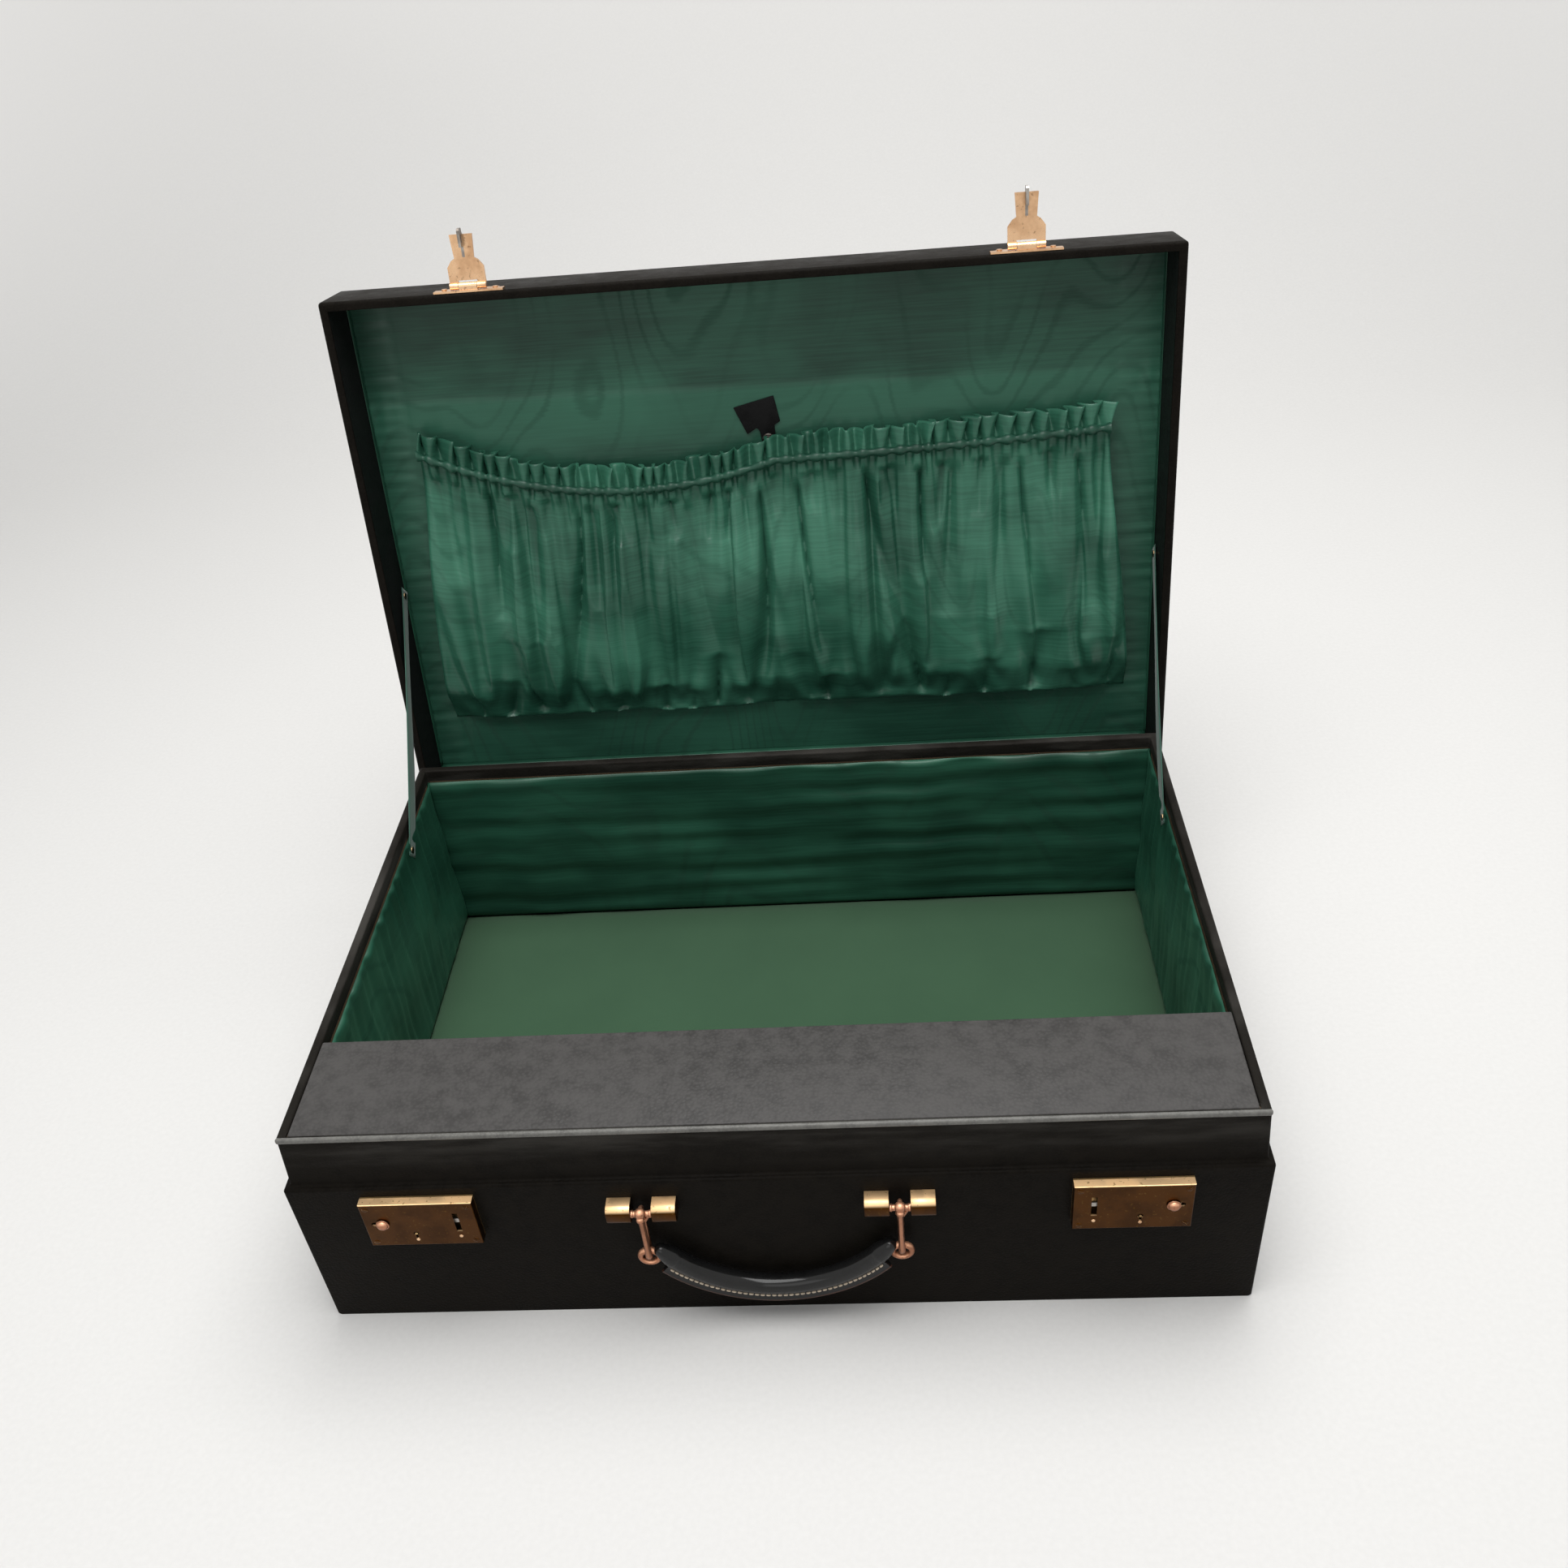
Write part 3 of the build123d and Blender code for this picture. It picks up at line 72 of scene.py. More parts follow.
# %% The lid's own frame
HINGE = Vector(JOINTS["lid_hinge"]["pos_m"])
LID_ANGLE = math.radians(-JOINTS["lid_hinge"]["range_deg"][0])
LID = Matrix.Translation(HINGE) @ Matrix.Rotation(-LID_ANGLE, 4, "X")
LID_BACK = LID.inverted()


def lid_box(node):
    """Lowest and highest corner of a node, measured in the lid's own frame."""
    points = np.array([LID_BACK @ vertex.co for vertex in NODES[node].data.vertices])
    return Vector(points.min(axis=0)), Vector(points.max(axis=0))


COVER_LOW, COVER_HIGH = lid_box("lid_leather")
PANEL_LOW, PANEL_HIGH = lid_box("lid_panel")
print("lid cover in its own frame", COVER_LOW[:], COVER_HIGH[:])

# %% [markdown]
# ## Hand tools
# A few helpers stand in for what a hand does in the viewport: add a block, pick faces, bevel, cut.

# %% Modelling helpers


def clear_selection():
    """Nothing selected, and object mode."""
    if bpy.context.object and bpy.context.object.mode != "OBJECT":
        bpy.ops.object.mode_set(mode="OBJECT")
    bpy.ops.object.select_all(action="DESELECT")


def pick(piece):
    """Make one piece the active and only selected one."""
    clear_selection()
    piece.select_set(True)
    bpy.context.view_layer.objects.active = piece
    return piece


def settle(piece):
    """Move a piece's place into its mesh, so that the object sits at the origin."""
    pick(piece)
    bpy.ops.object.transform_apply(location=True, rotation=True, scale=True)
    return piece


def block(name, low, high):
    """A box between two corners."""
    clear_selection()
    low, high = Vector(low), Vector(high)
    bpy.ops.mesh.primitive_cube_add(size=1, location=(low + high) / 2)
    piece = bpy.context.object
    piece.name = name
    piece.scale = high - low
    return settle(piece)


def modify(piece, kind, **settings):
    """Add one modifier and apply it."""
    pick(piece)
    modifier = piece.modifiers.new(kind.lower(), kind)
    for name, value in settings.items():
        setattr(modifier, name, value)
    bpy.ops.object.modifier_apply(modifier=modifier.name)
    return piece


def bevel(piece, width, segments=3, angle=30):
    """Round every edge sharper than the angle."""
    limits = {"limit_method": "ANGLE", "angle_limit": math.radians(angle)}
    return modify(piece, "BEVEL", width=width, segments=segments, **limits)


def cut(piece, cutter):
    """Take one shape out of another."""
    modify(piece, "BOOLEAN", operation="DIFFERENCE", solver="EXACT", object=cutter)
    bpy.data.objects.remove(cutter)
    return piece


def join(name, pieces):
    """Make several meshes one."""
    clear_selection()
    for piece in pieces:
        piece.select_set(True)
    bpy.context.view_layer.objects.active = pieces[0]
    if len(pieces) > 1:
        bpy.ops.object.join()
    bpy.context.object.name = name
    return bpy.context.object


def edit(piece):
    """Edit mode, with the whole piece selected."""
    pick(piece)
    bpy.ops.object.mode_set(mode="EDIT")
    bpy.ops.mesh.select_all(action="SELECT")


def leave_edit():
    """Back to object mode."""
    bpy.ops.object.mode_set(mode="OBJECT")


def pull(height):
    """Extrude what is selected straight up, or down when the height is negative."""
    bpy.ops.mesh.extrude_region_move(TRANSFORM_OT_translate={"value": (0, 0, height)})


def weld():
    """Merge the points that meet."""
    bpy.ops.mesh.select_all(action="SELECT")
    bpy.ops.mesh.remove_doubles(threshold=0.01 * MM)


def face_outwards():
    """Turn every face outwards and leave edit mode."""
    bpy.ops.mesh.select_all(action="SELECT")
    bpy.ops.mesh.normals_make_consistent(inside=False)
    leave_edit()


def circle(name, points, radius=1, location=(0, 0, 0), **settings):
    """A ring of points, from which turned, spun and cut-out pieces start."""
    clear_selection()
    bpy.ops.mesh.primitive_circle_add(vertices=points, radius=radius, location=location, **settings)
    ring = bpy.context.object
    ring.name = name
    return ring


def turned(name, rings, place=(0, 0, 0), toward=(0, 0, 1), sides=24):
    """A turned piece: one ring, pulled up and resized step by step. rings: (radius, height) in mm."""
    rings = [(radius * MM, height * MM) for radius, height in rings]
    radius, height = rings[0]
    piece = circle(name, sides, radius, (0, 0, height), fill_type="NGON")
    bpy.ops.object.mode_set(mode="EDIT")
    bpy.ops.mesh.select_mode(type="FACE")
    bpy.ops.mesh.select_all(action="SELECT")
    for next_radius, next_height in rings[1:]:
        grow = next_radius / radius
        pull(next_height - height)
        bpy.ops.transform.resize(value=(grow, grow, 1), center_override=(0, 0, 0))
        radius, height = next_radius, next_height
    face_outwards()
    settle(piece)
    piece.rotation_mode = "QUATERNION"
    piece.rotation_quaternion = Vector(toward).to_track_quat("Z", "Y")
    piece.location = place
    return settle(piece)


def repeat(name, model, turns):
    """Copies of one model, each with a mesh of its own, joined as one piece."""
    copies = []
    for turn in turns:
        mesh = model.data.copy()
        mesh.transform(turn)
        copy = bpy.data.objects.new(name, mesh)
        bpy.context.scene.collection.objects.link(copy)
        copies.append(copy)
    bpy.data.objects.remove(model)
    return join(name, copies)


def pick_faces(piece, test):
    """Go to edit mode with the faces that pass a test of their centre and normal selected."""
    pick(piece)
    bpy.ops.object.mode_set(mode="EDIT")
    bpy.ops.mesh.select_mode(type="FACE")
    bpy.ops.mesh.select_all(action="DESELECT")
    leave_edit()
    for face in piece.data.polygons:
        face.select = bool(test(face.center, face.normal))
    bpy.ops.object.mode_set(mode="EDIT")


def smooth(piece, angle=35):
    """Smooth shading that keeps the sharp edges."""
    pick(piece)
    bpy.ops.object.shade_smooth_by_angle(angle=math.radians(angle))
    return piece


def dress(piece, material, body, stands_for=()):
    """Give a finished piece its material and the body it moves with."""
    piece.data.materials.clear()
    piece.data.materials.append(material)
    if stands_for:
        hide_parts(*stands_for)
    if body:
        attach(piece, body)
    return piece


def to_lid(piece):
    """Carry a piece drawn in the lid's own frame to the open lid."""
    piece.data.transform(LID)
    piece.data.update()
    return piece


# %% [markdown]
# ## Cloth as a grid
# Silk starts as a flat grid with its own UV map in metres, so the weave follows the cloth wherever it
# goes. Its points are then moved by a small function.

# %% Cloth helpers


def grid_cloth(name, columns, rows, place, uv_size):
    """A sheet of quads. place(u, v) gives a point for u and v from 0 to 1."""
    clear_selection()
    bpy.ops.mesh.primitive_grid_add(x_subdivisions=columns, y_subdivisions=rows, size=2)
    piece = bpy.context.object
    piece.name = name
    mesh = piece.data
    flat = np.array([vertex.co for vertex in mesh.vertices])
    u = (flat[:, 0] + 1) / 2
    v = (flat[:, 1] + 1) / 2
    layer = mesh.uv_layers.active or mesh.uv_layers.new(name="cloth")
    layer.name = "cloth"
    loops = np.zeros(len(mesh.loops), int)
    mesh.loops.foreach_get("vertex_index", loops)
    uv = np.stack([u[loops] * uv_size[0], v[loops] * uv_size[1]], axis=1)
    layer.data.foreach_set("uv", uv.astype(np.float32).ravel())
    points = place(u, v)
    mesh.vertices.foreach_set("co", np.stack(points, axis=1).astype(np.float32).ravel())
    mesh.update()
    return piece


def hump(distance, width):
    """A smooth bump, 1 at distance 0 and 0 far away."""
    return np.exp(-((distance / width) ** 2))


def ramp(value, low, high):
    """A smooth step from 0 at low to 1 at high."""
    t = np.clip((value - low) / (high - low), 0, 1)
    return t * t * (3 - 2 * t)


class Waves:
    """Smooth random waviness: a seeded sum of sines, so each run gives the same cloth."""

    def __init__(self, seed, count, shortest, longest, lean=0.35):
        chance = random.Random(seed)
        self.parts = [
            (
                math.tau / math.exp(chance.uniform(math.log(shortest), math.log(longest))),
                chance.uniform(-lean, lean),
                chance.uniform(0, math.tau),
                chance.uniform(0.5, 1.0),
            )
            for _ in range(count)
        ]

    def __call__(self, along, across):
        total = sum(
            size * np.sin(rate * (along + lean * across) + phase)
            for rate, lean, phase, size in self.parts
        )
        return total / math.sqrt(len(self.parts))


# %% [markdown]
# ## Finishes
# Node groups hold the effects that several materials share. Each one puts out only masks, values or
# heights. The shader itself stays in the material.

# %% Node helpers


def new_group(name, inputs, outputs):
    """A node group. inputs maps each label to its default value, and every output is one number."""
    group = bpy.data.node_groups.new(name, "ShaderNodeTree")
    for label, default in inputs.items():
        kind = "NodeSocketVector" if isinstance(default, tuple) else "NodeSocketFloat"
        socket = group.interface.new_socket(name=label, in_out="INPUT", socket_type=kind)
        socket.default_value = default
    for label in outputs:
        group.interface.new_socket(name=label, in_out="OUTPUT", socket_type="NodeSocketFloat")
    group.nodes.new("NodeGroupInput")
    group.nodes.new("NodeGroupOutput")
    ends = {node.bl_idname: node for node in group.nodes}
    return group, Nodes(group), ends["NodeGroupInput"].outputs, ends["NodeGroupOutput"].inputs


class Nodes:
    """Short words for adding and linking nodes in one tree."""

    def __init__(self, tree):
        self.tree = tree

    def add(self, kind, links=None, **settings):
        node = self.tree.nodes.new(kind)
        for name, value in settings.items():
            setattr(node, name, value)
        for label, value in (links or {}).items():
            self.put(node.inputs[label], value)
        return node

    def put(self, socket, value):
        """Link an output to a socket, or set its value."""
        if isinstance(value, bpy.types.NodeSocket):
            self.tree.links.new(value, socket)
        else:
            socket.default_value = value

    def math(self, operation, first, second=0.0, clamp=False):
        node = self.add("ShaderNodeMath", operation=operation, use_clamp=clamp)
        self.put(node.inputs[0], first)
        self.put(node.inputs[1], second)
        return node.outputs[0]

    def times(self, first, second):
        return self.math("MULTIPLY", first, second)

    def plus(self, first, second):
        return self.math("ADD", first, second)

    def vector(self, operation, *values):
        return self.add("ShaderNodeVectorMath", dict(enumerate(values)), operation=operation).outputs

    def split(self, vector):
        """The x, y and z of a vector."""
        return self.add("ShaderNodeSeparateXYZ", {0: vector}).outputs

    def noise(self, vector, scale, detail=2.0, roughness=0.5):
        links = {"Vector": vector, "Scale": scale, "Detail": detail, "Roughness": roughness}
        return self.add("ShaderNodeTexNoise", links).outputs["Fac"]

    def streaks(self, vector, scale, detail=2.0, roughness=0.5):
        """Noise with a scale of its own along each axis."""
        return self.noise(self.stretch(vector, scale), 1.0, detail, roughness)

    def remap(self, value, low, high, to_low=0.0, to_high=1.0):
        """A smooth step: to_low where the value is low, to_high where it is high."""
        ends = {"From Min": low, "From Max": high, "To Min": to_low, "To Max": to_high}
        links = {"Value": value, **ends}
        node = self.add("ShaderNodeMapRange", links, interpolation_type="SMOOTHSTEP", clamp=True)
        return node.outputs["Result"]

    def stretch(self, vector, scale, rotation=(0, 0, 0), location=(0, 0, 0)):
        links = {"Vector": vector, "Scale": scale, "Rotation": rotation, "Location": location}
        return self.add("ShaderNodeMapping", links).outputs["Vector"]

    def mix(self, amount, first, second):
        node = self.add("ShaderNodeMix", data_type="RGBA", clamp_factor=True)
        self.put(node.inputs["Factor"], amount)
        self.put(node.inputs[6], first)
        self.put(node.inputs[7], second)
        return node.outputs[2]


def use_group(nodes, group, values):
    """Place a group in a material with its own values."""
    node = nodes.add("ShaderNodeGroup", node_tree=group)
    for label, value in values.items():
        nodes.put(node.inputs[label], value)
    return node.outputs


# %% [markdown]
# Goatskin has a fine pebbled grain: small rounded cells with creases between them. A Voronoi texture
# gives the cells. One noise makes them wander, and a coarser one keeps them from looking machine made.

# %% Leather grain group
LEATHER_GRAIN, nodes, given, result = new_group(
    "leather_grain", {"Vector": (0, 0, 0), "Scale": 700.0}, ("Height", "Tone")
)
wobble = nodes.noise(given["Vector"], 260.0, detail=1.0)
moved = nodes.vector("ADD", given["Vector"], nodes.times(wobble, 0.0012))[0]
links = {"Vector": moved, "Scale": given["Scale"]}
cells = nodes.add("ShaderNodeTexVoronoi", links, feature="SMOOTH_F1")
cells.inputs["Smoothness"].default_value = 0.6
coarse = nodes.noise(given["Vector"], 95.0, detail=3.0, roughness=0.6)
pebble = nodes.math("SUBTRACT", 1.0, cells.outputs["Distance"])
nodes.put(result["Height"], nodes.plus(nodes.times(pebble, 0.7), nodes.times(coarse, 0.9)))
patch = nodes.noise(given["Vector"], 14.0, detail=4.0, roughness=0.6)
nodes.put(result["Tone"], nodes.times(nodes.plus(patch, coarse), 0.5))

# %% [markdown]
# Wear sits where things rub, so it follows the edges. On a box the middle one of the three distances to
# the faces is the distance to the nearest edge. Noise then breaks the line up into scuffs.

# %% Edge wear group
EDGE_WEAR, nodes, given, result = new_group(
    "edge_wear",
    {"Vector": (0, 0, 0), "Centre": (0, 0, 0), "Half Size": (1, 1, 1), "Reach": 0.004, "Amount": 0.5},
    ("Mask",),
)
offset = nodes.vector("SUBTRACT", given["Vector"], given["Centre"])[0]
inside = nodes.vector("SUBTRACT", given["Half Size"], nodes.vector("ABSOLUTE", offset)[0])[0]
parts = nodes.split(inside)
least = nodes.math("MINIMUM", nodes.math("MINIMUM", parts[0], parts[1]), parts[2])
most = nodes.math("MAXIMUM", nodes.math("MAXIMUM", parts[0], parts[1]), parts[2])
total = nodes.plus(nodes.plus(parts[0], parts[1]), parts[2])
middle = nodes.math("SUBTRACT", nodes.math("SUBTRACT", total, least), most)
near = nodes.math("SUBTRACT", 1.0, nodes.math("DIVIDE", middle, given["Reach"]), clamp=True)
broken = nodes.noise(given["Vector"], 60.0, detail=5.0, roughness=0.65)
level = nodes.plus(nodes.math("SUBTRACT", broken, 1.0), given["Amount"])
nodes.put(result["Mask"], nodes.remap(nodes.plus(level, nodes.times(near, 0.55)), 0.5, 0.75))

# %% [markdown]
# Watered silk is ribbed cloth that has been pressed double, so the ribs flatten in wandering lines. The
# figure is the contour lines of a slow noise, stretched along the cloth: loops, chevrons and eddies.

# %% Watered silk group
WATERED, nodes, given, result = new_group(
    "watered_silk",
    {"Vector": (0, 0, 0), "Lines": 9.0, "Drift": 26.0},
    ("Figure", "Ribs", "Cloud", "Streaks"),
)
slow = nodes.streaks(given["Vector"], (10.0, 4.5, 5.0), detail=1.2, roughness=0.4)
ragged = nodes.streaks(given["Vector"], (70.0, 520.0, 60.0))
level = nodes.times(slow, given["Lines"])
level = nodes.plus(level, nodes.times(nodes.split(given["Vector"])[1], given["Drift"]))
level = nodes.plus(level, nodes.times(ragged, 0.30))
line = nodes.math("PINGPONG", level, 0.5)
figure = nodes.remap(line, 0.03, 0.20, 1.0, 0.0)
strength = nodes.remap(nodes.streaks(given["Vector"], (7.0, 9.0, 9.0)), 0.36, 0.62, 0.15, 1.0)
nodes.put(result["Figure"], nodes.times(figure, strength))
nodes.put(result["Ribs"], nodes.streaks(given["Vector"], (25.0, 1500.0, 25.0), detail=1.0))
cloud = nodes.streaks(given["Vector"], (6.0, 10.0, 6.0), detail=3.0, roughness=0.55)
nodes.put(result["Cloud"], cloud)
streaks = nodes.streaks(given["Vector"], (16.0, 520.0, 16.0), roughness=0.6)
nodes.put(result["Streaks"], nodes.remap(streaks, 0.36, 0.64))

# %% [markdown]
# Gilt brass rubs bright on its edges and dulls brown on its flats, with small dark spots where the gilt
# has gone. One group makes the brown patches, the spots and the fine scratches.

# %% Tarnish group
TARNISH, nodes, given, result = new_group(
    "tarnish", {"Vector": (0, 0, 0)}, ("Dull", "Spots", "Scratches")
)
dull = nodes.noise(given["Vector"], 55.0, detail=4.0, roughness=0.6)
nodes.put(result["Dull"], nodes.remap(dull, 0.38, 0.64))
spots = nodes.noise(given["Vector"], 480.0)
nodes.put(result["Spots"], nodes.remap(spots, 0.62, 0.74))
brushed = nodes.stretch(given["Vector"], (2600.0, 240.0, 90.0), (0.3, 0.2, 0.5))
nodes.put(result["Scratches"], nodes.remap(nodes.noise(brushed, 1.0), 0.58, 0.72))
print("node groups:", [group.name for group in bpy.data.node_groups])

# %% [markdown]
# ## Materials
# Every material starts the same way: a Principled shader, Object coordinates or the cloth's own UV map,
# and a bump whose height comes from a group or from a plain noise.

# %% Material helpers


def new_material(name, **principled):
    """A material with a Principled shader. Returns the material, its nodes and the shader."""
    material = bpy.data.materials.new(name)
    material.use_nodes = True
    shader = material.node_tree.nodes["Principled BSDF"]
    for label, value in principled.items():
        shader.inputs[label.replace("_", " ")].default_value = value
    return material, Nodes(material.node_tree), shader


def object_place(nodes):
    return nodes.add("ShaderNodeTexCoord").outputs["Object"]


def cloth_place(nodes):
    return nodes.add("ShaderNodeUVMap", uv_map="cloth").outputs["UV"]


def shade(colour, factor):
    """The same colour, lighter or darker."""
    return [part * factor for part in colour[:3]] + [1]


def paint(nodes, shader, colour, height, distance, strength, roughness=None):
    """Link a colour and a bump to the shader, and a roughness where there is one."""
    nodes.put(shader.inputs["Base Color"], colour)
    if roughness is not None:
        nodes.put(shader.inputs["Roughness"], roughness)
    links = {"Height": height, "Distance": distance, "Strength": strength}
    nodes.put(shader.inputs["Normal"], nodes.add("ShaderNodeBump", links).outputs["Normal"])


BLACK = (0.0056, 0.0047, 0.0037, 1)
WORN = (0.13, 0.125, 0.11, 1)
# The grey that the top of the lip takes: partly scuffing, partly a painted sheen.
LIP_SHEEN_AND_SCUFF = (0.060, 0.056, 0.050, 1)
NO_EDGES = (Vector((-9, -9, -9)), Vector((9, 9, 9)))


def leather(
    name, colour, worn=WORN, box=NO_EDGES, scale=700.0, wear=0.42, reach=0.006, rough=0.46,
    lid=False, gloss=0.03, coat=0.0, sheen_and_scuff_heights=None,
):
    """Grained leather whose scuffs follow the edges of a box. Last argument: heights over which it lightens
    upwards, part scuffing, part painted sheen.
    """
    principled = {"Specular_IOR_Level": gloss, "Coat_Weight": coat, "Coat_Roughness": 0.12}
    material, nodes, shader = new_material(name, **principled)
    place = object_place(nodes)
    if lid:
        place = nodes.stretch(place, (1, 1, 1), (LID_ANGLE, 0, 0), LID_BACK.translation)
    low, high = box
    grain = use_group(nodes, LEATHER_GRAIN, {"Vector": place, "Scale": scale})
    wears = {"Centre": (low + high) / 2, "Half Size": (high - low) / 2, "Reach": reach, "Amount": wear}
    rubbed = use_group(nodes, EDGE_WEAR, {"Vector": place, **wears})["Mask"]
    dark = nodes.mix(nodes.remap(grain["Tone"], 0.35, 0.65), colour, shade(colour, 1.5))
    crest = nodes.times(nodes.remap(grain["Height"], 0.55, 1.05), 0.5)
    dark = nodes.mix(crest, dark, shade(colour, 1.9))
    # Painted sheen, partly scuffing: the lip lightens towards its top, where it faces the light from above.
    if sheen_and_scuff_heights:
        upper = nodes.remap(nodes.split(place)[2], *sheen_and_scuff_heights)
        streak = nodes.streaks(place, (9.0, 9.0, 60.0), detail=4.0, roughness=0.6)
        sheen_and_scuff_mask = nodes.times(upper, nodes.remap(streak, 0.42, 0.70, 0.15, 1.0))
        dark = nodes.mix(nodes.times(sheen_and_scuff_mask, 0.7), dark, LIP_SHEEN_AND_SCUFF)
    roughness = nodes.remap(grain["Tone"], 0.3, 0.7, rough - 0.07, rough + 0.1)
    roughness = nodes.plus(roughness, nodes.times(rubbed, 0.2))
    paint(nodes, shader, nodes.mix(rubbed, dark, worn), grain["Height"], 0.42 * MM, 0.55, roughness)
    return material


def silk(
    name, colour, light, lines=9.0, drift=26.0, by_uv=True, rough=0.42, band=None, figure=0.4,
    creases=False,
):
    """Watered silk: pressed lines are darker, and the ribs between them glint."""
    principled = {"Specular_IOR_Level": 0.32, "Sheen_Weight": 0.22, "Sheen_Roughness": 0.4}
    material, nodes, shader = new_material(name, **principled, Sheen_Tint=light)
    place = cloth_place(nodes) if by_uv else object_place(nodes)
    water = use_group(nodes, WATERED, {"Vector": place, "Lines": lines, "Drift": drift})
    cloudy = nodes.remap(water["Cloud"], 0.3, 0.7, 0.0, 0.82)
    ground = nodes.mix(nodes.plus(nodes.times(water["Streaks"], 0.18), cloudy), colour, light)
    # A band just below the lid's fold is lighter: most at its top and less further down.
    if band:
        start, end = band
        x, y, _ = nodes.split(place)
        down = nodes.plus(y, nodes.times(x, BAND_SLOPE))
        lighter_band = nodes.remap(down, start - 0.004, start + 0.003)
        lighter_band = nodes.times(lighter_band, nodes.remap(down, start + 0.01, end, 1.0, 0.25))
        ground = nodes.mix(nodes.times(lighter_band, 0.6), ground, shade(light, 1.15))
    # Painted shade: the cloth is darker where the creases draw it in.
    if creases:
        painted_crease_shade = nodes.add("ShaderNodeAttribute", attribute_name="crease").outputs["Fac"]
        painted_crease_shade = nodes.times(nodes.remap(painted_crease_shade, 0.25, 1.0), 0.8)
        ground = nodes.mix(painted_crease_shade, ground, shade(colour, 0.5))
    pressed = nodes.mix(nodes.times(water["Figure"], figure), ground, shade(colour, 0.62))
    roughness = nodes.remap(water["Figure"], 0.0, 1.0, rough - 0.06, rough + 0.12)
    paint(nodes, shader, pressed, water["Ribs"], 0.12 * MM, 0.5, roughness)
    return material


def gilt(name, bright, brown, front=None, rough=0.3, dullness=0.8):
    """Gilt brass: brown in patches. With a front colour, faces that do not look up take it as a painted
    shade, and only those that look up stay bright.
    """
    material, nodes, shader = new_material(name, Metallic=1.0)
    worn = use_group(nodes, TARNISH, {"Vector": object_place(nodes)})
    tone = nodes.mix(nodes.times(worn["Dull"], dullness), bright, brown)
    roughness = nodes.remap(worn["Dull"], 0, 1, rough, rough + 0.14)
    # Painted shade: faces that do not look up turn to the darker front colour, with tarnish patches in it,
    # as if light came only from above.
    if front:
        facing = nodes.add("ShaderNodeTexCoord").outputs["Normal"]
        faces_up = nodes.remap(nodes.split(facing)[2], 0.25, 0.7)
        tarnished_shaded_front = nodes.mix(nodes.times(worn["Dull"], 0.7), front, shade(front, 0.55))
        tone = nodes.mix(faces_up, tarnished_shaded_front, nodes.mix(0.12, bright, tone))
        roughness = nodes.plus(roughness, nodes.times(faces_up, 0.16))
    colour = nodes.mix(nodes.times(worn["Spots"], 0.6), tone, shade(brown, 0.4))
    roughness = nodes.plus(roughness, nodes.times(worn["Spots"], 0.15))
    paint(nodes, shader, colour, worn["Scratches"], 0.03 * MM, 0.35, roughness)
    return material


# %% [markdown]
# The colours are written as linear values. Black leather is a very dark warm grey. The silk runs from a
# bottle green to a pale sea green where its ribs catch the light.

# %% The case's own materials
BODY_LOW, BODY_HIGH = BODY_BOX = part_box("body_leather")
FLAP_LOW, FLAP_HIGH = FLAP_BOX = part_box("flap_leather")
body_black = leather("body_black_leather", BLACK, box=BODY_BOX, wear=0.34, sheen_and_scuff_heights=(0.124, 0.160))
lid_black = leather("lid_black_leather", BLACK, box=(COVER_LOW, COVER_HIGH), wear=0.38, lid=True)
# The ledge is the case's black leather in a lighter colour: partly wear and dust, partly a painted
# highlight for the light from above on its top.
ledge_leather_worn_and_lit = leather(
    "ledge_leather_worn_and_lit", (0.040, 0.038, 0.0365, 1), (0.15, 0.145, 0.13, 1), FLAP_BOX,
    scale=520.0, wear=0.30, reach=0.003, rough=0.5, gloss=0.22,
)
# The front edge: black leather made pale, partly wear and partly a painted highlight on the rounded edge.
edge_leather_rubbed_and_lit = leather(
    "rubbed_and_highlit_edge_leather", (0.10, 0.098, 0.090, 1), (0.30, 0.29, 0.27, 1), BODY_BOX,
    wear=0.50, rough=0.40, gloss=0.3,
)
strip_leather = leather("smooth_strip_leather", (0.008, 0.008, 0.008, 1), scale=1100.0, rough=0.4)
grip_black = leather("handle_black_leather", (0.006, 0.006, 0.006, 1), scale=900.0, rough=0.32, coat=0.6)
welt_brown = leather("welt_brown_leather", (0.035, 0.014, 0.008, 1), scale=900.0, rough=0.4, gloss=0.3)

DEEP_GREEN = (0.0085, 0.040, 0.025, 1)
SEA_GREEN = (0.036, 0.140, 0.088, 1)
BAND_SLOPE = -0.0145
lid_silk = silk(
    "lid_silk", DEEP_GREEN, SEA_GREEN, lines=17.0, drift=24.0, band=(0.073, 0.115), figure=0.3
)
# The pocket takes lighter greens than the panel: in part a painted highlight for the light on its folds.
pocket_silk = silk(
    "pocket_silk", (0.012, 0.066, 0.040, 1), (0.062, 0.225, 0.145, 1),
    lines=15.0, drift=20.0, figure=0.25, rough=0.34, creases=True,
)
wall_silk = silk(
    "wall_silk", (0.007, 0.038, 0.023, 1), (0.030, 0.125, 0.076, 1), drift=20.0, figure=0.3
)
plain_silk = silk("plain_silk", DEEP_GREEN, (0.028, 0.11, 0.07, 1), by_uv=False)

# The dark front colour is painted shade on the faces that do not look up.
brass = gilt(
    "worn_gilt_brass_shaded_front", (0.97, 0.67, 0.37, 1), (0.34, 0.175, 0.035, 1), front=(0.066, 0.022, 0.0008, 1)
)
back_brass = gilt("dull_brass", (0.62, 0.42, 0.19, 1), (0.22, 0.13, 0.05, 1))
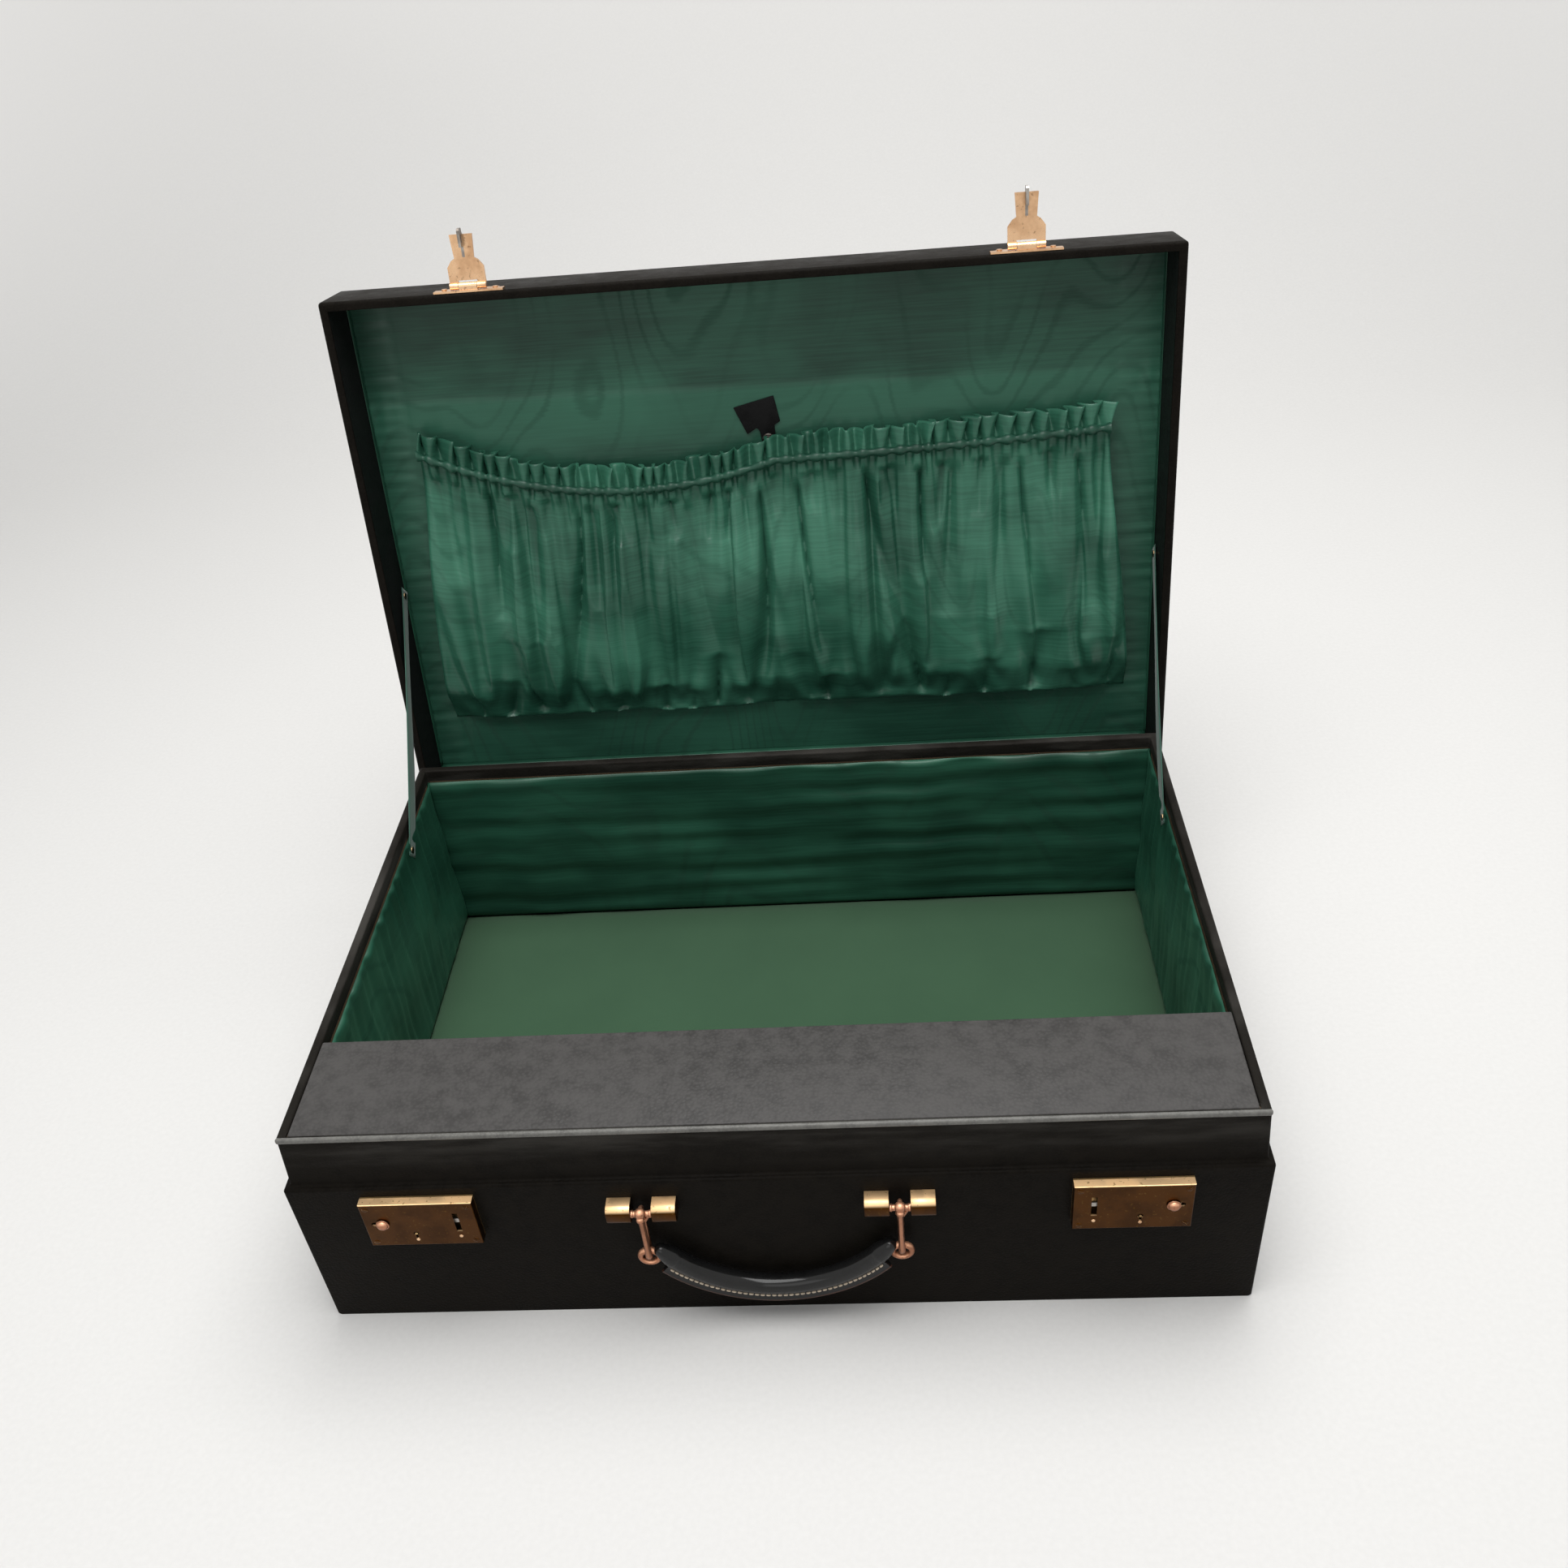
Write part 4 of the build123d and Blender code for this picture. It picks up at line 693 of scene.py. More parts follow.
# The third colour is a painted shade for the copper's faces that do not look up.
copper = gilt(
    "copper_gilt", (0.78, 0.42, 0.26, 1), (0.34, 0.15, 0.085, 1), (0.42, 0.19, 0.11, 1), dullness=0.5
)
rose_gilt = gilt("rose_gilt", (0.80, 0.52, 0.31, 1), (0.45, 0.25, 0.13, 1), dullness=0.7, rough=0.26)
steel = gilt("plain_steel", (0.42, 0.40, 0.37, 1), (0.16, 0.13, 0.11, 1), rough=0.34)
dark_metal = gilt("japanned_metal", (0.05, 0.045, 0.04, 1), (0.02, 0.015, 0.012, 1))


def thread():
    """Waxed linen thread, cream gone brown in places."""
    material, nodes, shader = new_material("cream_thread", Roughness=0.6)
    twist = nodes.noise(object_place(nodes), 900.0)
    colour = nodes.mix(twist, (0.42, 0.32, 0.23, 1), (0.72, 0.62, 0.48, 1))
    paint(nodes, shader, colour, twist, 0.1 * MM, 0.5)
    return material


def board_wood():
    """Thin pine board with a straight grain."""
    material, nodes, shader = new_material("case_board", Roughness=0.7)
    grain = nodes.streaks(object_place(nodes), (12.0, 160.0, 160.0), detail=5.0, roughness=0.6)
    colour = nodes.mix(grain, (0.16, 0.10, 0.055, 1), (0.38, 0.27, 0.16, 1))
    paint(nodes, shader, colour, grain, 0.2 * MM, 0.6)
    return material


def felt():
    """The well's floor: a soft matt green cloth over card."""
    principled = {"Specular_IOR_Level": 0.25, "Sheen_Weight": 0.12, "Sheen_Roughness": 0.6}
    material, nodes, shader = new_material("floor_cloth", Roughness=0.85, **principled)
    place = object_place(nodes)
    nap = nodes.noise(place, 2200.0, roughness=0.7)
    cloud = nodes.noise(place, 9.0, detail=4.0, roughness=0.6)
    tone = nodes.plus(nodes.times(nap, 0.35), nodes.times(cloud, 0.65))
    colour = nodes.mix(tone, (0.023, 0.065, 0.031, 1), (0.049, 0.115, 0.058, 1))
    paint(nodes, shader, colour, nap, 0.25 * MM, 0.5)
    return material


def ribbon_weave():
    """Grosgrain: fine ribs across the ribbon."""
    material, nodes, shader = new_material("green_ribbon", Roughness=0.6, Sheen_Weight=0.3)
    place = cloth_place(nodes)
    rib = nodes.math("PINGPONG", nodes.times(nodes.split(place)[0], 900.0), 0.5)
    fade = nodes.noise(place, 40.0, detail=3.0)
    colour = nodes.mix(fade, (0.012, 0.055, 0.036, 1), (0.035, 0.13, 0.088, 1))
    paint(nodes, shader, colour, rib, 0.2 * MM, 0.7)
    return material


cream_thread = thread()
wood = board_wood()
floor_cloth = felt()
ribbon = ribbon_weave()
print("materials:", len(bpy.data.materials))

# %% [markdown]
# ## Carried-over nodes
# Pieces whose shape is already right keep their meshes and only take a finish.

# %% Finish the carried-over nodes
FINISHES = {
    body_black: ("base_covering", "body_leather", "lid_leather"),
    ledge_leather_worn_and_lit: ("flap_leather",),
    strip_leather: ("lid_rim_strip", "pocket_tab", "handle_grip", "partition", "flap_board"),
    wood: (
        "base_board", "shell_front", "shell_back", "shell_sides", "liner_front", "liner_back",
        "liner_sides", "lid_top_board", "lid_wall_front", "lid_wall_back", "lid_wall_sides",
    ),
    plain_silk: (
        "well_lining_back", "well_lining_front", "well_lining_sides", "compartment_lining",
        "flap_lining", "lid_panel", "lid_side_lining", "pocket",
    ),
    floor_cloth: ("well_floor",),
    brass: (
        "lock_cover_left", "lock_cover_right", "lock_screws", "handle_mounts", "stay_rivets_body",
        "stay_rivets_lid",
    ),
    back_brass: (
        "lock_backplates", "handle_rivets", "hinge_leaves_body", "hinge_leaves_lid", "hinge_screws_body",
        "hinge_screws_lid",
    ),
    rose_gilt: ("hasp_plates", "hasp_rivets", "hasp_leaf_left", "hasp_leaf_right"),
    copper: ("shackles", "handle_eyes", "lock_button_left", "lock_button_right", "handle_pins"),
    steel: (
        "hasp_hook_left", "hasp_hook_right", "hasp_pins", "hinge_pins", "lock_bolt_left",
        "lock_bolt_right", "lock_springs",
    ),
    dark_metal: ("tab_stud",),
    ribbon: ("stay_left", "stay_right"),
}
for finish, names in FINISHES.items():
    for name in names:
        NODES[name].data.materials.clear()
        NODES[name].data.materials.append(finish)
bare = sorted(set(NODES) - {name for names in FINISHES.values() for name in names})
print("nodes without a finish:", bare)

# %% [markdown]
# ## Body leather
# The real cover is one skin: up the sides, in at the shoulder, up the leaning lip and over into the
# mouth. It is drawn from one block by inset and extrude, which keeps the skin in one piece.

# %% Body cover
SHOULDER = HINGE.z
LIP_FOOT = 3.5 * MM
LIP_TOP = 5.5 * MM
RIM_WIDTH = 5.5 * MM
TURNED_IN = 9.5 * MM


def lipped_cover():
    """The body's leather, from one block."""
    cover = block("body_cover", BODY_LOW, (BODY_HIGH.x, BODY_HIGH.y, SHOULDER))
    pick_faces(cover, lambda centre, normal: normal.z > 0.9)
    bpy.ops.mesh.inset(thickness=LIP_FOOT)
    pull(BODY_HIGH.z - SHOULDER)
    lean = LIP_TOP - LIP_FOOT
    leaning = (1 - lean / (BODY_HIGH.x - LIP_FOOT), 1 - lean / (BODY_HIGH.y - LIP_FOOT), 1)
    bpy.ops.transform.resize(value=leaning, center_override=(0, 0, 0))
    bpy.ops.mesh.inset(thickness=RIM_WIDTH)
    pull(-TURNED_IN)
    bpy.ops.mesh.delete(type="FACE")
    pick_faces(cover, lambda centre, normal: normal.z < -0.9)
    bpy.ops.mesh.delete(type="FACE")
    leave_edit()
    return cover


FLAP_SEAT = 1.3 * MM
body_cover = bevel(lipped_cover(), 2.2 * MM, segments=4, angle=40)
modify(body_cover, "SOLIDIFY", thickness=0.8 * MM, offset=-1)
notch = block(
    "notch",
    (FLAP_LOW.x - 0.4 * MM, FLAP_LOW.y - 0.1 * MM, FLAP_HIGH.z - FLAP_SEAT),
    (FLAP_HIGH.x + 0.4 * MM, FLAP_LOW.y + 12 * MM, FLAP_HIGH.z + FLAP_SEAT),
)
cut(body_cover, notch)
smooth(body_cover)
dress(body_cover, body_black, "case", ["body_leather"])
print("body cover", len(body_cover.data.polygons), "faces")

# %% [markdown]
# ## Lid leather
# The lid is a shallow tray turned upside down. Its leather is one skin too: over the crown, down the
# four walls and round the rim. It is shaped flat, in the lid's own frame, and then carried to its place.

# %% Lid cover
BOX_ROUND = 2.4 * MM
RIM_BAND = 6.0 * MM
RIM_TURN = 1.2 * MM


def lid_skin():
    """The lid's leather, open towards the rim."""
    cover = block("lid_cover", COVER_LOW, COVER_HIGH)
    bevel(cover, BOX_ROUND, segments=4)
    pick_faces(cover, lambda centre, normal: normal.z < -0.99)
    bpy.ops.mesh.inset(thickness=RIM_BAND - BOX_ROUND)
    pull(RIM_TURN)
    bpy.ops.mesh.delete(type="FACE")
    leave_edit()
    bevel(cover, 0.5 * MM, segments=2, angle=60)
    return modify(cover, "SOLIDIFY", thickness=0.7 * MM, offset=-1)


lid_cover = to_lid(smooth(lid_skin()))
dress(lid_cover, lid_black, "lid", ["lid_leather"])
print("lid cover", len(lid_cover.data.polygons), "faces")

# %% [markdown]
# ## The ledge and its edge
# The ledge is the lid of the front compartment. Its leather runs on over the case's front edge, which
# makes the hinge. The edge is pale, partly rubbed and partly a painted highlight where its rounded top
# catches the light, so it is a piece of its own with a rounded profile.

# %% Ledge cover and front edge
LEDGE_ROUND = 1.1 * MM
EDGE_FRONT = BODY_LOW.y + LIP_TOP - 1.5 * MM
EDGE_DROP = 3.7 * MM
EDGE_HALF = BODY_HIGH.x - LIP_TOP + 0.3 * MM

ledge = block("ledge_cover", FLAP_LOW, FLAP_HIGH)
bevel(ledge, LEDGE_ROUND, segments=3)
pick_faces(ledge, lambda centre, normal: normal.z < -0.9)
bpy.ops.mesh.delete(type="FACE")
leave_edit()
modify(ledge, "SOLIDIFY", thickness=0.7 * MM, offset=-1)
smooth(ledge)
dress(ledge, ledge_leather_worn_and_lit, "flap", ["flap_leather"])

front_edge = block(
    "front_edge_leather",
    (-EDGE_HALF, EDGE_FRONT, BODY_HIGH.z - EDGE_DROP),
    (EDGE_HALF, FLAP_LOW.y - 0.05 * MM, BODY_HIGH.z),
)
bevel(front_edge, 1.4 * MM, segments=4)
smooth(front_edge, 60)
dress(front_edge, edge_leather_rubbed_and_lit, "case")
print("ledge and edge made")

# %% [markdown]
# ## Silk on the well's walls
# The silk is glued along its top edge and tucked in at the floor, so it puckers: along the back wall in
# lying folds, and on the short walls in standing ones. Each wall is a fine grid pushed in and out.

# %% Well linings
WELL_BACK_LOW, WELL_BACK_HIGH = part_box("well_lining_back")
WELL_SIDE_LOW, WELL_SIDE_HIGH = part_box("well_lining_sides")
WELL_FRONT_LOW, WELL_FRONT_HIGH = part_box("well_lining_front")
WELL_FLOOR_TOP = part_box("well_floor")[1].z
CLOTH = 0.4 * MM


def wall_cloth(name, corner, along, up, inward, folds, cells=2.5 * MM, stand_off=1.2 * MM, rise=0.3 * MM):
    """Puckered silk on a wall. folds(a, h) gives the depth in metres at a along and h up the wall."""
    corner, along, up, inward = (Vector(item) for item in (corner, along, up, inward))
    width, height = along.length, up.length

    def place(u, v):
        depth = stand_off + folds(u * width, v * height)
        edge = ramp(v * height, 0, 4 * MM) * ramp((1 - v) * height, 0, 3 * MM)
        depth = depth * edge + rise
        return [corner[i] + along[i] * u + up[i] * v + inward[i] * depth for i in range(3)]

    columns, rows = max(3, int(width / cells)), max(3, int(height / cells))
    piece = grid_cloth(name, columns, rows, place, (width, height))
    return smooth(piece, 60)


def finish_cloth(piece, toward):
    """Turn the faces to the side that shows, then give the cloth its thickness behind them."""
    mean = sum((face.normal for face in piece.data.polygons), Vector())
    if mean.dot(Vector(toward)) < 0:
        edit(piece)
        bpy.ops.mesh.flip_normals()
        leave_edit()
    return modify(piece, "SOLIDIFY", thickness=CLOTH, offset=-1)


lying = Waves(11, 7, 14 * MM, 46 * MM, lean=0.07)
broad = Waves(12, 5, 60 * MM, 190 * MM, lean=0.3)
standing = Waves(13, 7, 11 * MM, 40 * MM, lean=0.16)


def back_folds(a, h):
    return 1.1 * MM * lying(h, a) + 1.0 * MM * broad(a, h)


def side_folds(a, h):
    return 1.0 * MM * standing(a, h) + 0.6 * MM * broad(h, a)


back_wall = wall_cloth(
    "well_silk_back",
    (WELL_BACK_LOW.x, WELL_BACK_LOW.y, WELL_FLOOR_TOP),
    (WELL_BACK_HIGH.x - WELL_BACK_LOW.x, 0, 0),
    (0, 0, WELL_BACK_HIGH.z - WELL_FLOOR_TOP),
    (0, -1, 0),
    back_folds,
)
finish_cloth(back_wall, (0, -1, 0))
dress(back_wall, wall_silk, "case", ["well_lining_back"])

INNER_SIDE = 266.5 * MM
for side, label in SIDES:
    wall = wall_cloth(
        f"well_silk_{label}",
        (side * INNER_SIDE, WELL_SIDE_LOW.y, WELL_FLOOR_TOP),
        (0, WELL_SIDE_HIGH.y - WELL_SIDE_LOW.y, 0),
        (0, 0, WELL_SIDE_HIGH.z - WELL_FLOOR_TOP),
        (-side, 0, 0),
        side_folds,
    )
    finish_cloth(wall, (-side, 0, 0))
    dress(wall, wall_silk, "case", ["well_lining_sides"])

# %% [markdown]
# The other linings are glued flat on their boards, so they only ripple a little: the front of the well,
# the compartment under the ledge, the underside of the ledge and the low walls above the lid's leather
# strip. Each is a cloth of its own, so that it can be named.

# %% Flat linings
glued = Waves(14, 6, 16 * MM, 90 * MM, lean=0.3)
LAID = 0.12 * MM
CELL = 5 * MM


def glued_folds(a, h):
    return 0.10 * MM * glued(a, h)


def glued_wall(name, corner, along, up, inward, lid=False):
    """A lining glued flat on a board."""
    wall = wall_cloth(name, corner, along, up, inward, glued_folds, CELL, LAID, rise=0.0)
    finish_cloth(wall, inward)
    if lid:
        to_lid(wall)
    return wall


def box_linings(name, labels, low, high, lid=False):
    """Linings for the four sides of a box: low y, high y, low x and high x."""
    size = high - low
    across, deep, tall = (size.x, 0, 0), (0, size.y, 0), (0, 0, size.z)
    sides = (
        (low, across, tall, (0, 1, 0)),
        ((low.x, high.y, low.z), across, tall, (0, -1, 0)),
        (low, deep, tall, (1, 0, 0)),
        ((high.x, low.y, low.z), deep, tall, (-1, 0, 0)),
    )
    return [glued_wall(f"{name}_{label}", *side, lid) for label, side in zip(labels, sides)]


front_wall = glued_wall(
    "well_silk_front",
    (WELL_FRONT_LOW.x, WELL_FRONT_HIGH.y, WELL_FLOOR_TOP),
    (WELL_FRONT_HIGH.x - WELL_FRONT_LOW.x, 0, 0),
    (0, 0, WELL_FRONT_HIGH.z - WELL_FLOOR_TOP),
    (0, 1, 0),
)
dress(front_wall, wall_silk, "case", ["well_lining_front"])

UNDER_LOW, UNDER_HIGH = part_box("flap_lining")
under_flap = glued_wall(
    "flap_silk",
    (UNDER_LOW.x, UNDER_LOW.y, UNDER_LOW.z + 0.5 * MM),
    (UNDER_HIGH.x - UNDER_LOW.x, 0, 0),
    (0, UNDER_HIGH.y - UNDER_LOW.y, 0),
    (0, 0, -1),
)
dress(under_flap, wall_silk, "flap", ["flap_lining"])

BAY_LOW, BAY_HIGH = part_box("compartment_lining")
BAY_LOW = BAY_LOW + Vector((1, 1, 1)) * MM
BAY_HIGH = BAY_HIGH - Vector((1, 1, 0)) * MM
BAY = BAY_HIGH - BAY_LOW
compartment = box_linings("compartment_silk", ("front", "back", "left", "right"), BAY_LOW, BAY_HIGH)
compartment.append(
    glued_wall("compartment_silk_floor", BAY_LOW, (BAY.x, 0, 0), (0, BAY.y, 0), (0, 0, 1))
)
for wall in compartment:
    dress(wall, wall_silk, "case", ["compartment_lining"])

EDGE_LOW, EDGE_HIGH = lid_box("lid_side_lining")
EDGE_LOW = EDGE_LOW + Vector((1.5, 1.5, 0)) * MM
EDGE_HIGH = EDGE_HIGH - Vector((1.5, 1.5, 0)) * MM
lid_walls = box_linings(
    "lid_wall_silk", ("top", "hinge", "left", "right"), EDGE_LOW, EDGE_HIGH, lid=True
)
lid_wall_silk = join("lid_wall_silk", lid_walls)
dress(lid_wall_silk, wall_silk, "lid", ["lid_side_lining"])
print("flat linings", len(compartment) + 3)

# %% [markdown]
# The well's floor is a card with a thin pad under matt cloth. It is a block cut into a fine grid, whose
# top swells a little and rolls down at the edges.

# %% Floor pad
PAD_LOW, PAD_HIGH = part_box("well_floor")
PAD_ROLL = 1.6 * MM
pad_swell = Waves(15, 6, 50 * MM, 160 * MM, lean=0.6)
floor_pad = block("well_floor_pad", PAD_LOW, PAD_HIGH)
edit(floor_pad)
bpy.ops.mesh.subdivide(number_cuts=63)
leave_edit()
for vertex in floor_pad.data.vertices:
    if vertex.co.z > PAD_HIGH.z - 0.01 * MM:
        x, y = vertex.co.x, vertex.co.y
        edge = min(x - PAD_LOW.x, PAD_HIGH.x - x, y - PAD_LOW.y, PAD_HIGH.y - y)
        inner = float(ramp(edge, 0, 9 * MM))
        swell = 0.45 * MM * float(pad_swell(x, y))
        vertex.co.z += inner * (0.5 * MM + swell) - (1 - inner) * PAD_ROLL
smooth(floor_pad, 50)
dress(floor_pad, floor_cloth, "case", ["well_floor"])
print("floor pad", len(floor_pad.data.polygons), "faces")

# %% [markdown]
# ## Lid panel
# The panel is card covered with watered silk. A fold runs across it above the pocket, two strips edge it
# at the sides, and the silk puckers where the strips are sewn down.

# %% Lid panel silk
PANEL_CENTRE = (PANEL_LOW + PANEL_HIGH) / 2
SEAM_LEFT = 295 * MM
SEAM_RIGHT = 287 * MM
STRIP_LEFT = -251 * MM
STRIP_RIGHT = 246 * MM
PANEL_SILK = 0.4 * MM
strip_pucker = Waves(21, 6, 7 * MM, 20 * MM, lean=0.1)
panel_waves = Waves(22, 6, 90 * MM, 260 * MM, lean=0.4)
seam_pucker = Waves(23, 5, 10 * MM, 30 * MM, lean=0.2)
PANEL_SIZE = (PANEL_HIGH.x - PANEL_LOW.x, PANEL_HIGH.y - PANEL_LOW.y)


def panel_place(u, v):
    """The panel in the lid's frame: x across, y towards the hinge, z down to the silk's face."""
    x = PANEL_LOW.x + u * PANEL_SIZE[0]
    y = PANEL_LOW.y + v * PANEL_SIZE[1]
    s = -y
    over = s - (SEAM_LEFT + (SEAM_RIGHT - SEAM_LEFT) * u)
    lift = 0.3 * MM * panel_waves(x, s)
    lift = lift + 0.7 * MM * ramp(-over, -1 * MM, 3 * MM) * ramp(over, -30 * MM, -2 * MM)
    lift = lift + 0.3 * MM * seam_pucker(x, s) * hump(over + 8 * MM, 12 * MM)
    in_strip = ramp(STRIP_LEFT - x, -2 * MM, 2 * MM) + ramp(x - STRIP_RIGHT, -2 * MM, 2 * MM)
    lift = lift + in_strip * (0.4 * MM + 0.5 * MM * strip_pucker(s, x))
    groove = hump(x - STRIP_LEFT, 1.6 * MM) + hump(x - STRIP_RIGHT, 1.6 * MM)
    under_tab = hump(x, 26 * MM) * hump(s - 268 * MM, 22 * MM)
    lift = (lift - 0.7 * MM * groove) * (1 - under_tab)
    return x, y, PANEL_LOW.z - PANEL_SILK - np.maximum(lift, -PANEL_SILK)


panel = smooth(grid_cloth("lid_panel_silk", 230, 150, panel_place, PANEL_SIZE), 60)
finish_cloth(panel, (0, 0, -1))
to_lid(panel)
dress(panel, lid_silk, "lid", ["lid_panel"])
print("panel", len(panel.data.polygons), "faces")

# %% [markdown]
# ## The gathered pocket
# Two bays of silk are drawn up on an elastic along the top and pleated into the seam at the bottom. The
# cut cloth is wider than the pocket, and that spare width is what makes the folds. First come the
# pocket's outline and the pleats, unevenly spaced as fingers make them.

# %% Pocket outline
BAY_JOIN = 1.0 * MM
JOIN_TOP = 8.2 * MM
TOP_ENDS = (-243.6 * MM, 240.7 * MM)
FOOT_ENDS = (-256.0 * MM, 258.0 * MM)
HEADING_LEFT = 259.5 * MM
HEADING_JOIN = 240.6 * MM
HEADING_RIGHT = 248.7 * MM
SAG_LEFT = 24.0 * MM
SAG_RIGHT = 1.5 * MM
FOOT_LINE = 50.0 * MM
BELLY_OUT = 24.0 * MM
MOUTH_OUT = 12.0 * MM
BELLY_AT = 0.33
OFF_PANEL = 0.6 * MM


def heading_line(x):
    """How far from the hinge the elastic lies, at x across the lid."""
    t = (x - TOP_ENDS[0]) / (JOIN_TOP - TOP_ENDS[0])
    left = HEADING_LEFT + (HEADING_JOIN - HEADING_LEFT) * t - SAG_LEFT * 4 * t * (1 - t)
    t = np.clip((x - JOIN_TOP) / (TOP_ENDS[1] - JOIN_TOP), 0, 1)
    right = HEADING_JOIN + (HEADING_RIGHT - HEADING_JOIN) * t - SAG_RIGHT * np.sin(np.pi * t)
    return np.where(x < JOIN_TOP, left, right)


def heading_x(u):
    """The place across the lid of the elastic, for u from 0 at the left to 1 at the right."""
    return TOP_ENDS[0] + u * (TOP_ENDS[1] - TOP_ENDS[0])


class Pleats:
    """Unevenly spaced pleats of uneven size. The chances are seeded, so each run gives the same ones."""

    def __init__(self, count, seed, spacing, size):
        chance = random.Random(seed)
        steps = [chance.uniform(*spacing) for _ in range(count)]
        self.places = np.concatenate([[0.0], np.cumsum(steps)]) / sum(steps)
        self.sizes = np.array([chance.uniform(*size) for _ in range(count + 1)])
        self.width = (TOP_ENDS[1] - TOP_ENDS[0]) / count

    def phase(self, u):
        return np.interp(u, self.places, np.arange(len(self.places))) * math.tau

    def __call__(self, u):
        return np.interp(u, self.places, self.sizes) * np.cos(self.phase(u))


gathers = Pleats(46, 8, (0.6, 1.4), (0.75, 1.2))
folds = Pleats(16, 9, (0.4, 1.7), (0.5, 1.35))
tucks = Pleats(34, 10, (0.4, 1.7), (0.5, 1.35))
print("gathers", len(gathers.sizes), "folds", len(folds.sizes), "tucks", len(tucks.sizes))

# %% [markdown]
# The cloth starts as a rough guess: fine pleats at the elastic, a few deep folds down the middle, small
# tucks at the foot. Its rest lengths come from the flat cut, and the simulation lets it fall from there.
# The elastic, the foot, the sides and the seam between the bays are pinned. Afterwards the smallest
# wrinkles are eased out, the belly is filled, and sharp creases are drawn in between round folds.

# %% Pocket cloth
CUT_WIDTH = 0.68
CUT_LENGTH = 0.225
SLACK = 1.22  # length of the cut cloth against the way it hangs
TOP_FULLNESS, FOLD_FULLNESS, FOOT_FULLNESS = 1.45, 1.35, 0.9  # depth of the pleats for their spacing
POCKET_COLUMNS = 360
POCKET_ROWS = 90
SIM_SCALE = 10.0
SIM_FRAMES = 26
SMOOTHINGS = 7
TOP_CREASES, TOP_EDGE = 30, 0.95  # creases that run down, and the height where they start
FOOT_CREASES, FOOT_EDGE = 18, 0.02  # creases that run up from the foot
CREASE_DRAWS, CREASE_DENTS = 0.55, 1.15  # how far a crease pulls in the cloth and the belly
POCKET_WIDE = 0.5
BILLOW = 14 * MM


def pocket_form(u, v):
    """Where the cloth lies without its folds: x, distance from the hinge, and height off the panel."""
    top_x = heading_x(u)
    foot_x = FOOT_ENDS[0] + u * (FOOT_ENDS[1] - FOOT_ENDS[0])
    x = foot_x + (top_x - foot_x) * ramp(v, 0, 1)
    s = FOOT_LINE + v * (heading_line(top_x) - FOOT_LINE)
    out = BELLY_OUT * np.sqrt(1 - (1 - np.clip(v / BELLY_AT, 0, 1)) ** 2)
    out = out + (MOUTH_OUT - BELLY_OUT) * ramp(v, BELLY_AT, 1)
    to_side = ramp(np.minimum(x - FOOT_ENDS[0], FOOT_ENDS[1] - x), 0, 22 * MM)
    off_seam = ramp(np.abs(x - BAY_JOIN), 1 * MM, 16 * MM)
    sewn = (1 - off_seam) * (1 - 0.75 * ramp(v, 0.55, 1)) * 0.85
    return x, s, out * (0.15 + 0.85 * to_side) * (1 - sewn)


def pocket_start(u, v):
    """The rough guess that the simulation starts from."""
    x, s, out = pocket_form(u, v)
    ends = ramp(np.minimum(u, 1 - u), 0, 0.01)
    near_top = ramp(v, 0.85, 0.98)
    near_foot = 1 - ramp(v, 0.02, 0.16)
    between = np.clip(1 - near_top - near_foot, 0, 1)
    wander = 0.012 * np.sin(math.tau * (u * 3.1 + 0.2)) + 0.008 * np.sin(math.tau * u * 7.3)
    swerve = wander * (1 - v)
    fine = gathers.width / math.tau * TOP_FULLNESS
    deep = folds.width / math.tau * FOLD_FULLNESS
    small = tucks.width / math.tau * FOOT_FULLNESS
    lift = near_top * fine * gathers(u) + between * deep * folds(u + swerve)
    lift = lift + near_foot * small * tucks(u)
    x = x + 0.25 * fine * np.sin(2 * gathers.phase(u)) * ends * near_top
    return x, -s, PANEL_LOW.z - OFF_PANEL - np.maximum(out + lift * ends, OFF_PANEL)


def flat_cut(u, v):
    """The cloth as it was cut: flat, and long enough at each place to hang slack."""
    x, s, out = pocket_form(u, v)
    path = np.stack([x, s, out], axis=-1).reshape(POCKET_ROWS + 1, POCKET_COLUMNS + 1, 3)
    tall = np.linalg.norm(np.diff(path, axis=0), axis=2).sum(axis=0) * SLACK
    return u * CUT_WIDTH, v * np.tile(tall, POCKET_ROWS + 1), 0 * u


def panel_behind():
    """A plain surface for the cloth to fall against, larger than the panel."""
    clear_selection()
    bpy.ops.mesh.primitive_plane_add(size=1, location=(0, PANEL_CENTRE.y, PANEL_LOW.z))
    plane = bpy.context.object
    plane.scale = (0.6, 0.4, 1)
    plane.rotation_euler.x = math.pi
    settle(plane)
    plane.data.transform(Matrix.Scale(SIM_SCALE, 4))
    plane.modifiers.new("stop", "COLLISION")
    plane.collision.thickness_outer = 0.3 * MM * SIM_SCALE
    return plane


def eased(grid, v):
    """Takes the smallest wrinkles out, most in the belly and at the foot and none at the elastic."""
    ease = (1 - ramp(v, 0.72, 0.94)).reshape(POCKET_ROWS + 1, POCKET_COLUMNS + 1, 1)
    for _ in range(SMOOTHINGS):
        beside = (grid[1:-1, :-2] + grid[1:-1, 2:]) / 2
        above = (grid[:-2, 1:-1] + grid[2:, 1:-1]) / 2
        middle = grid[1:-1, 1:-1]
        grid[1:-1, 1:-1] = middle + 0.5 * ease[1:-1, 1:-1] * ((beside + above) / 2 - middle)
    return grid


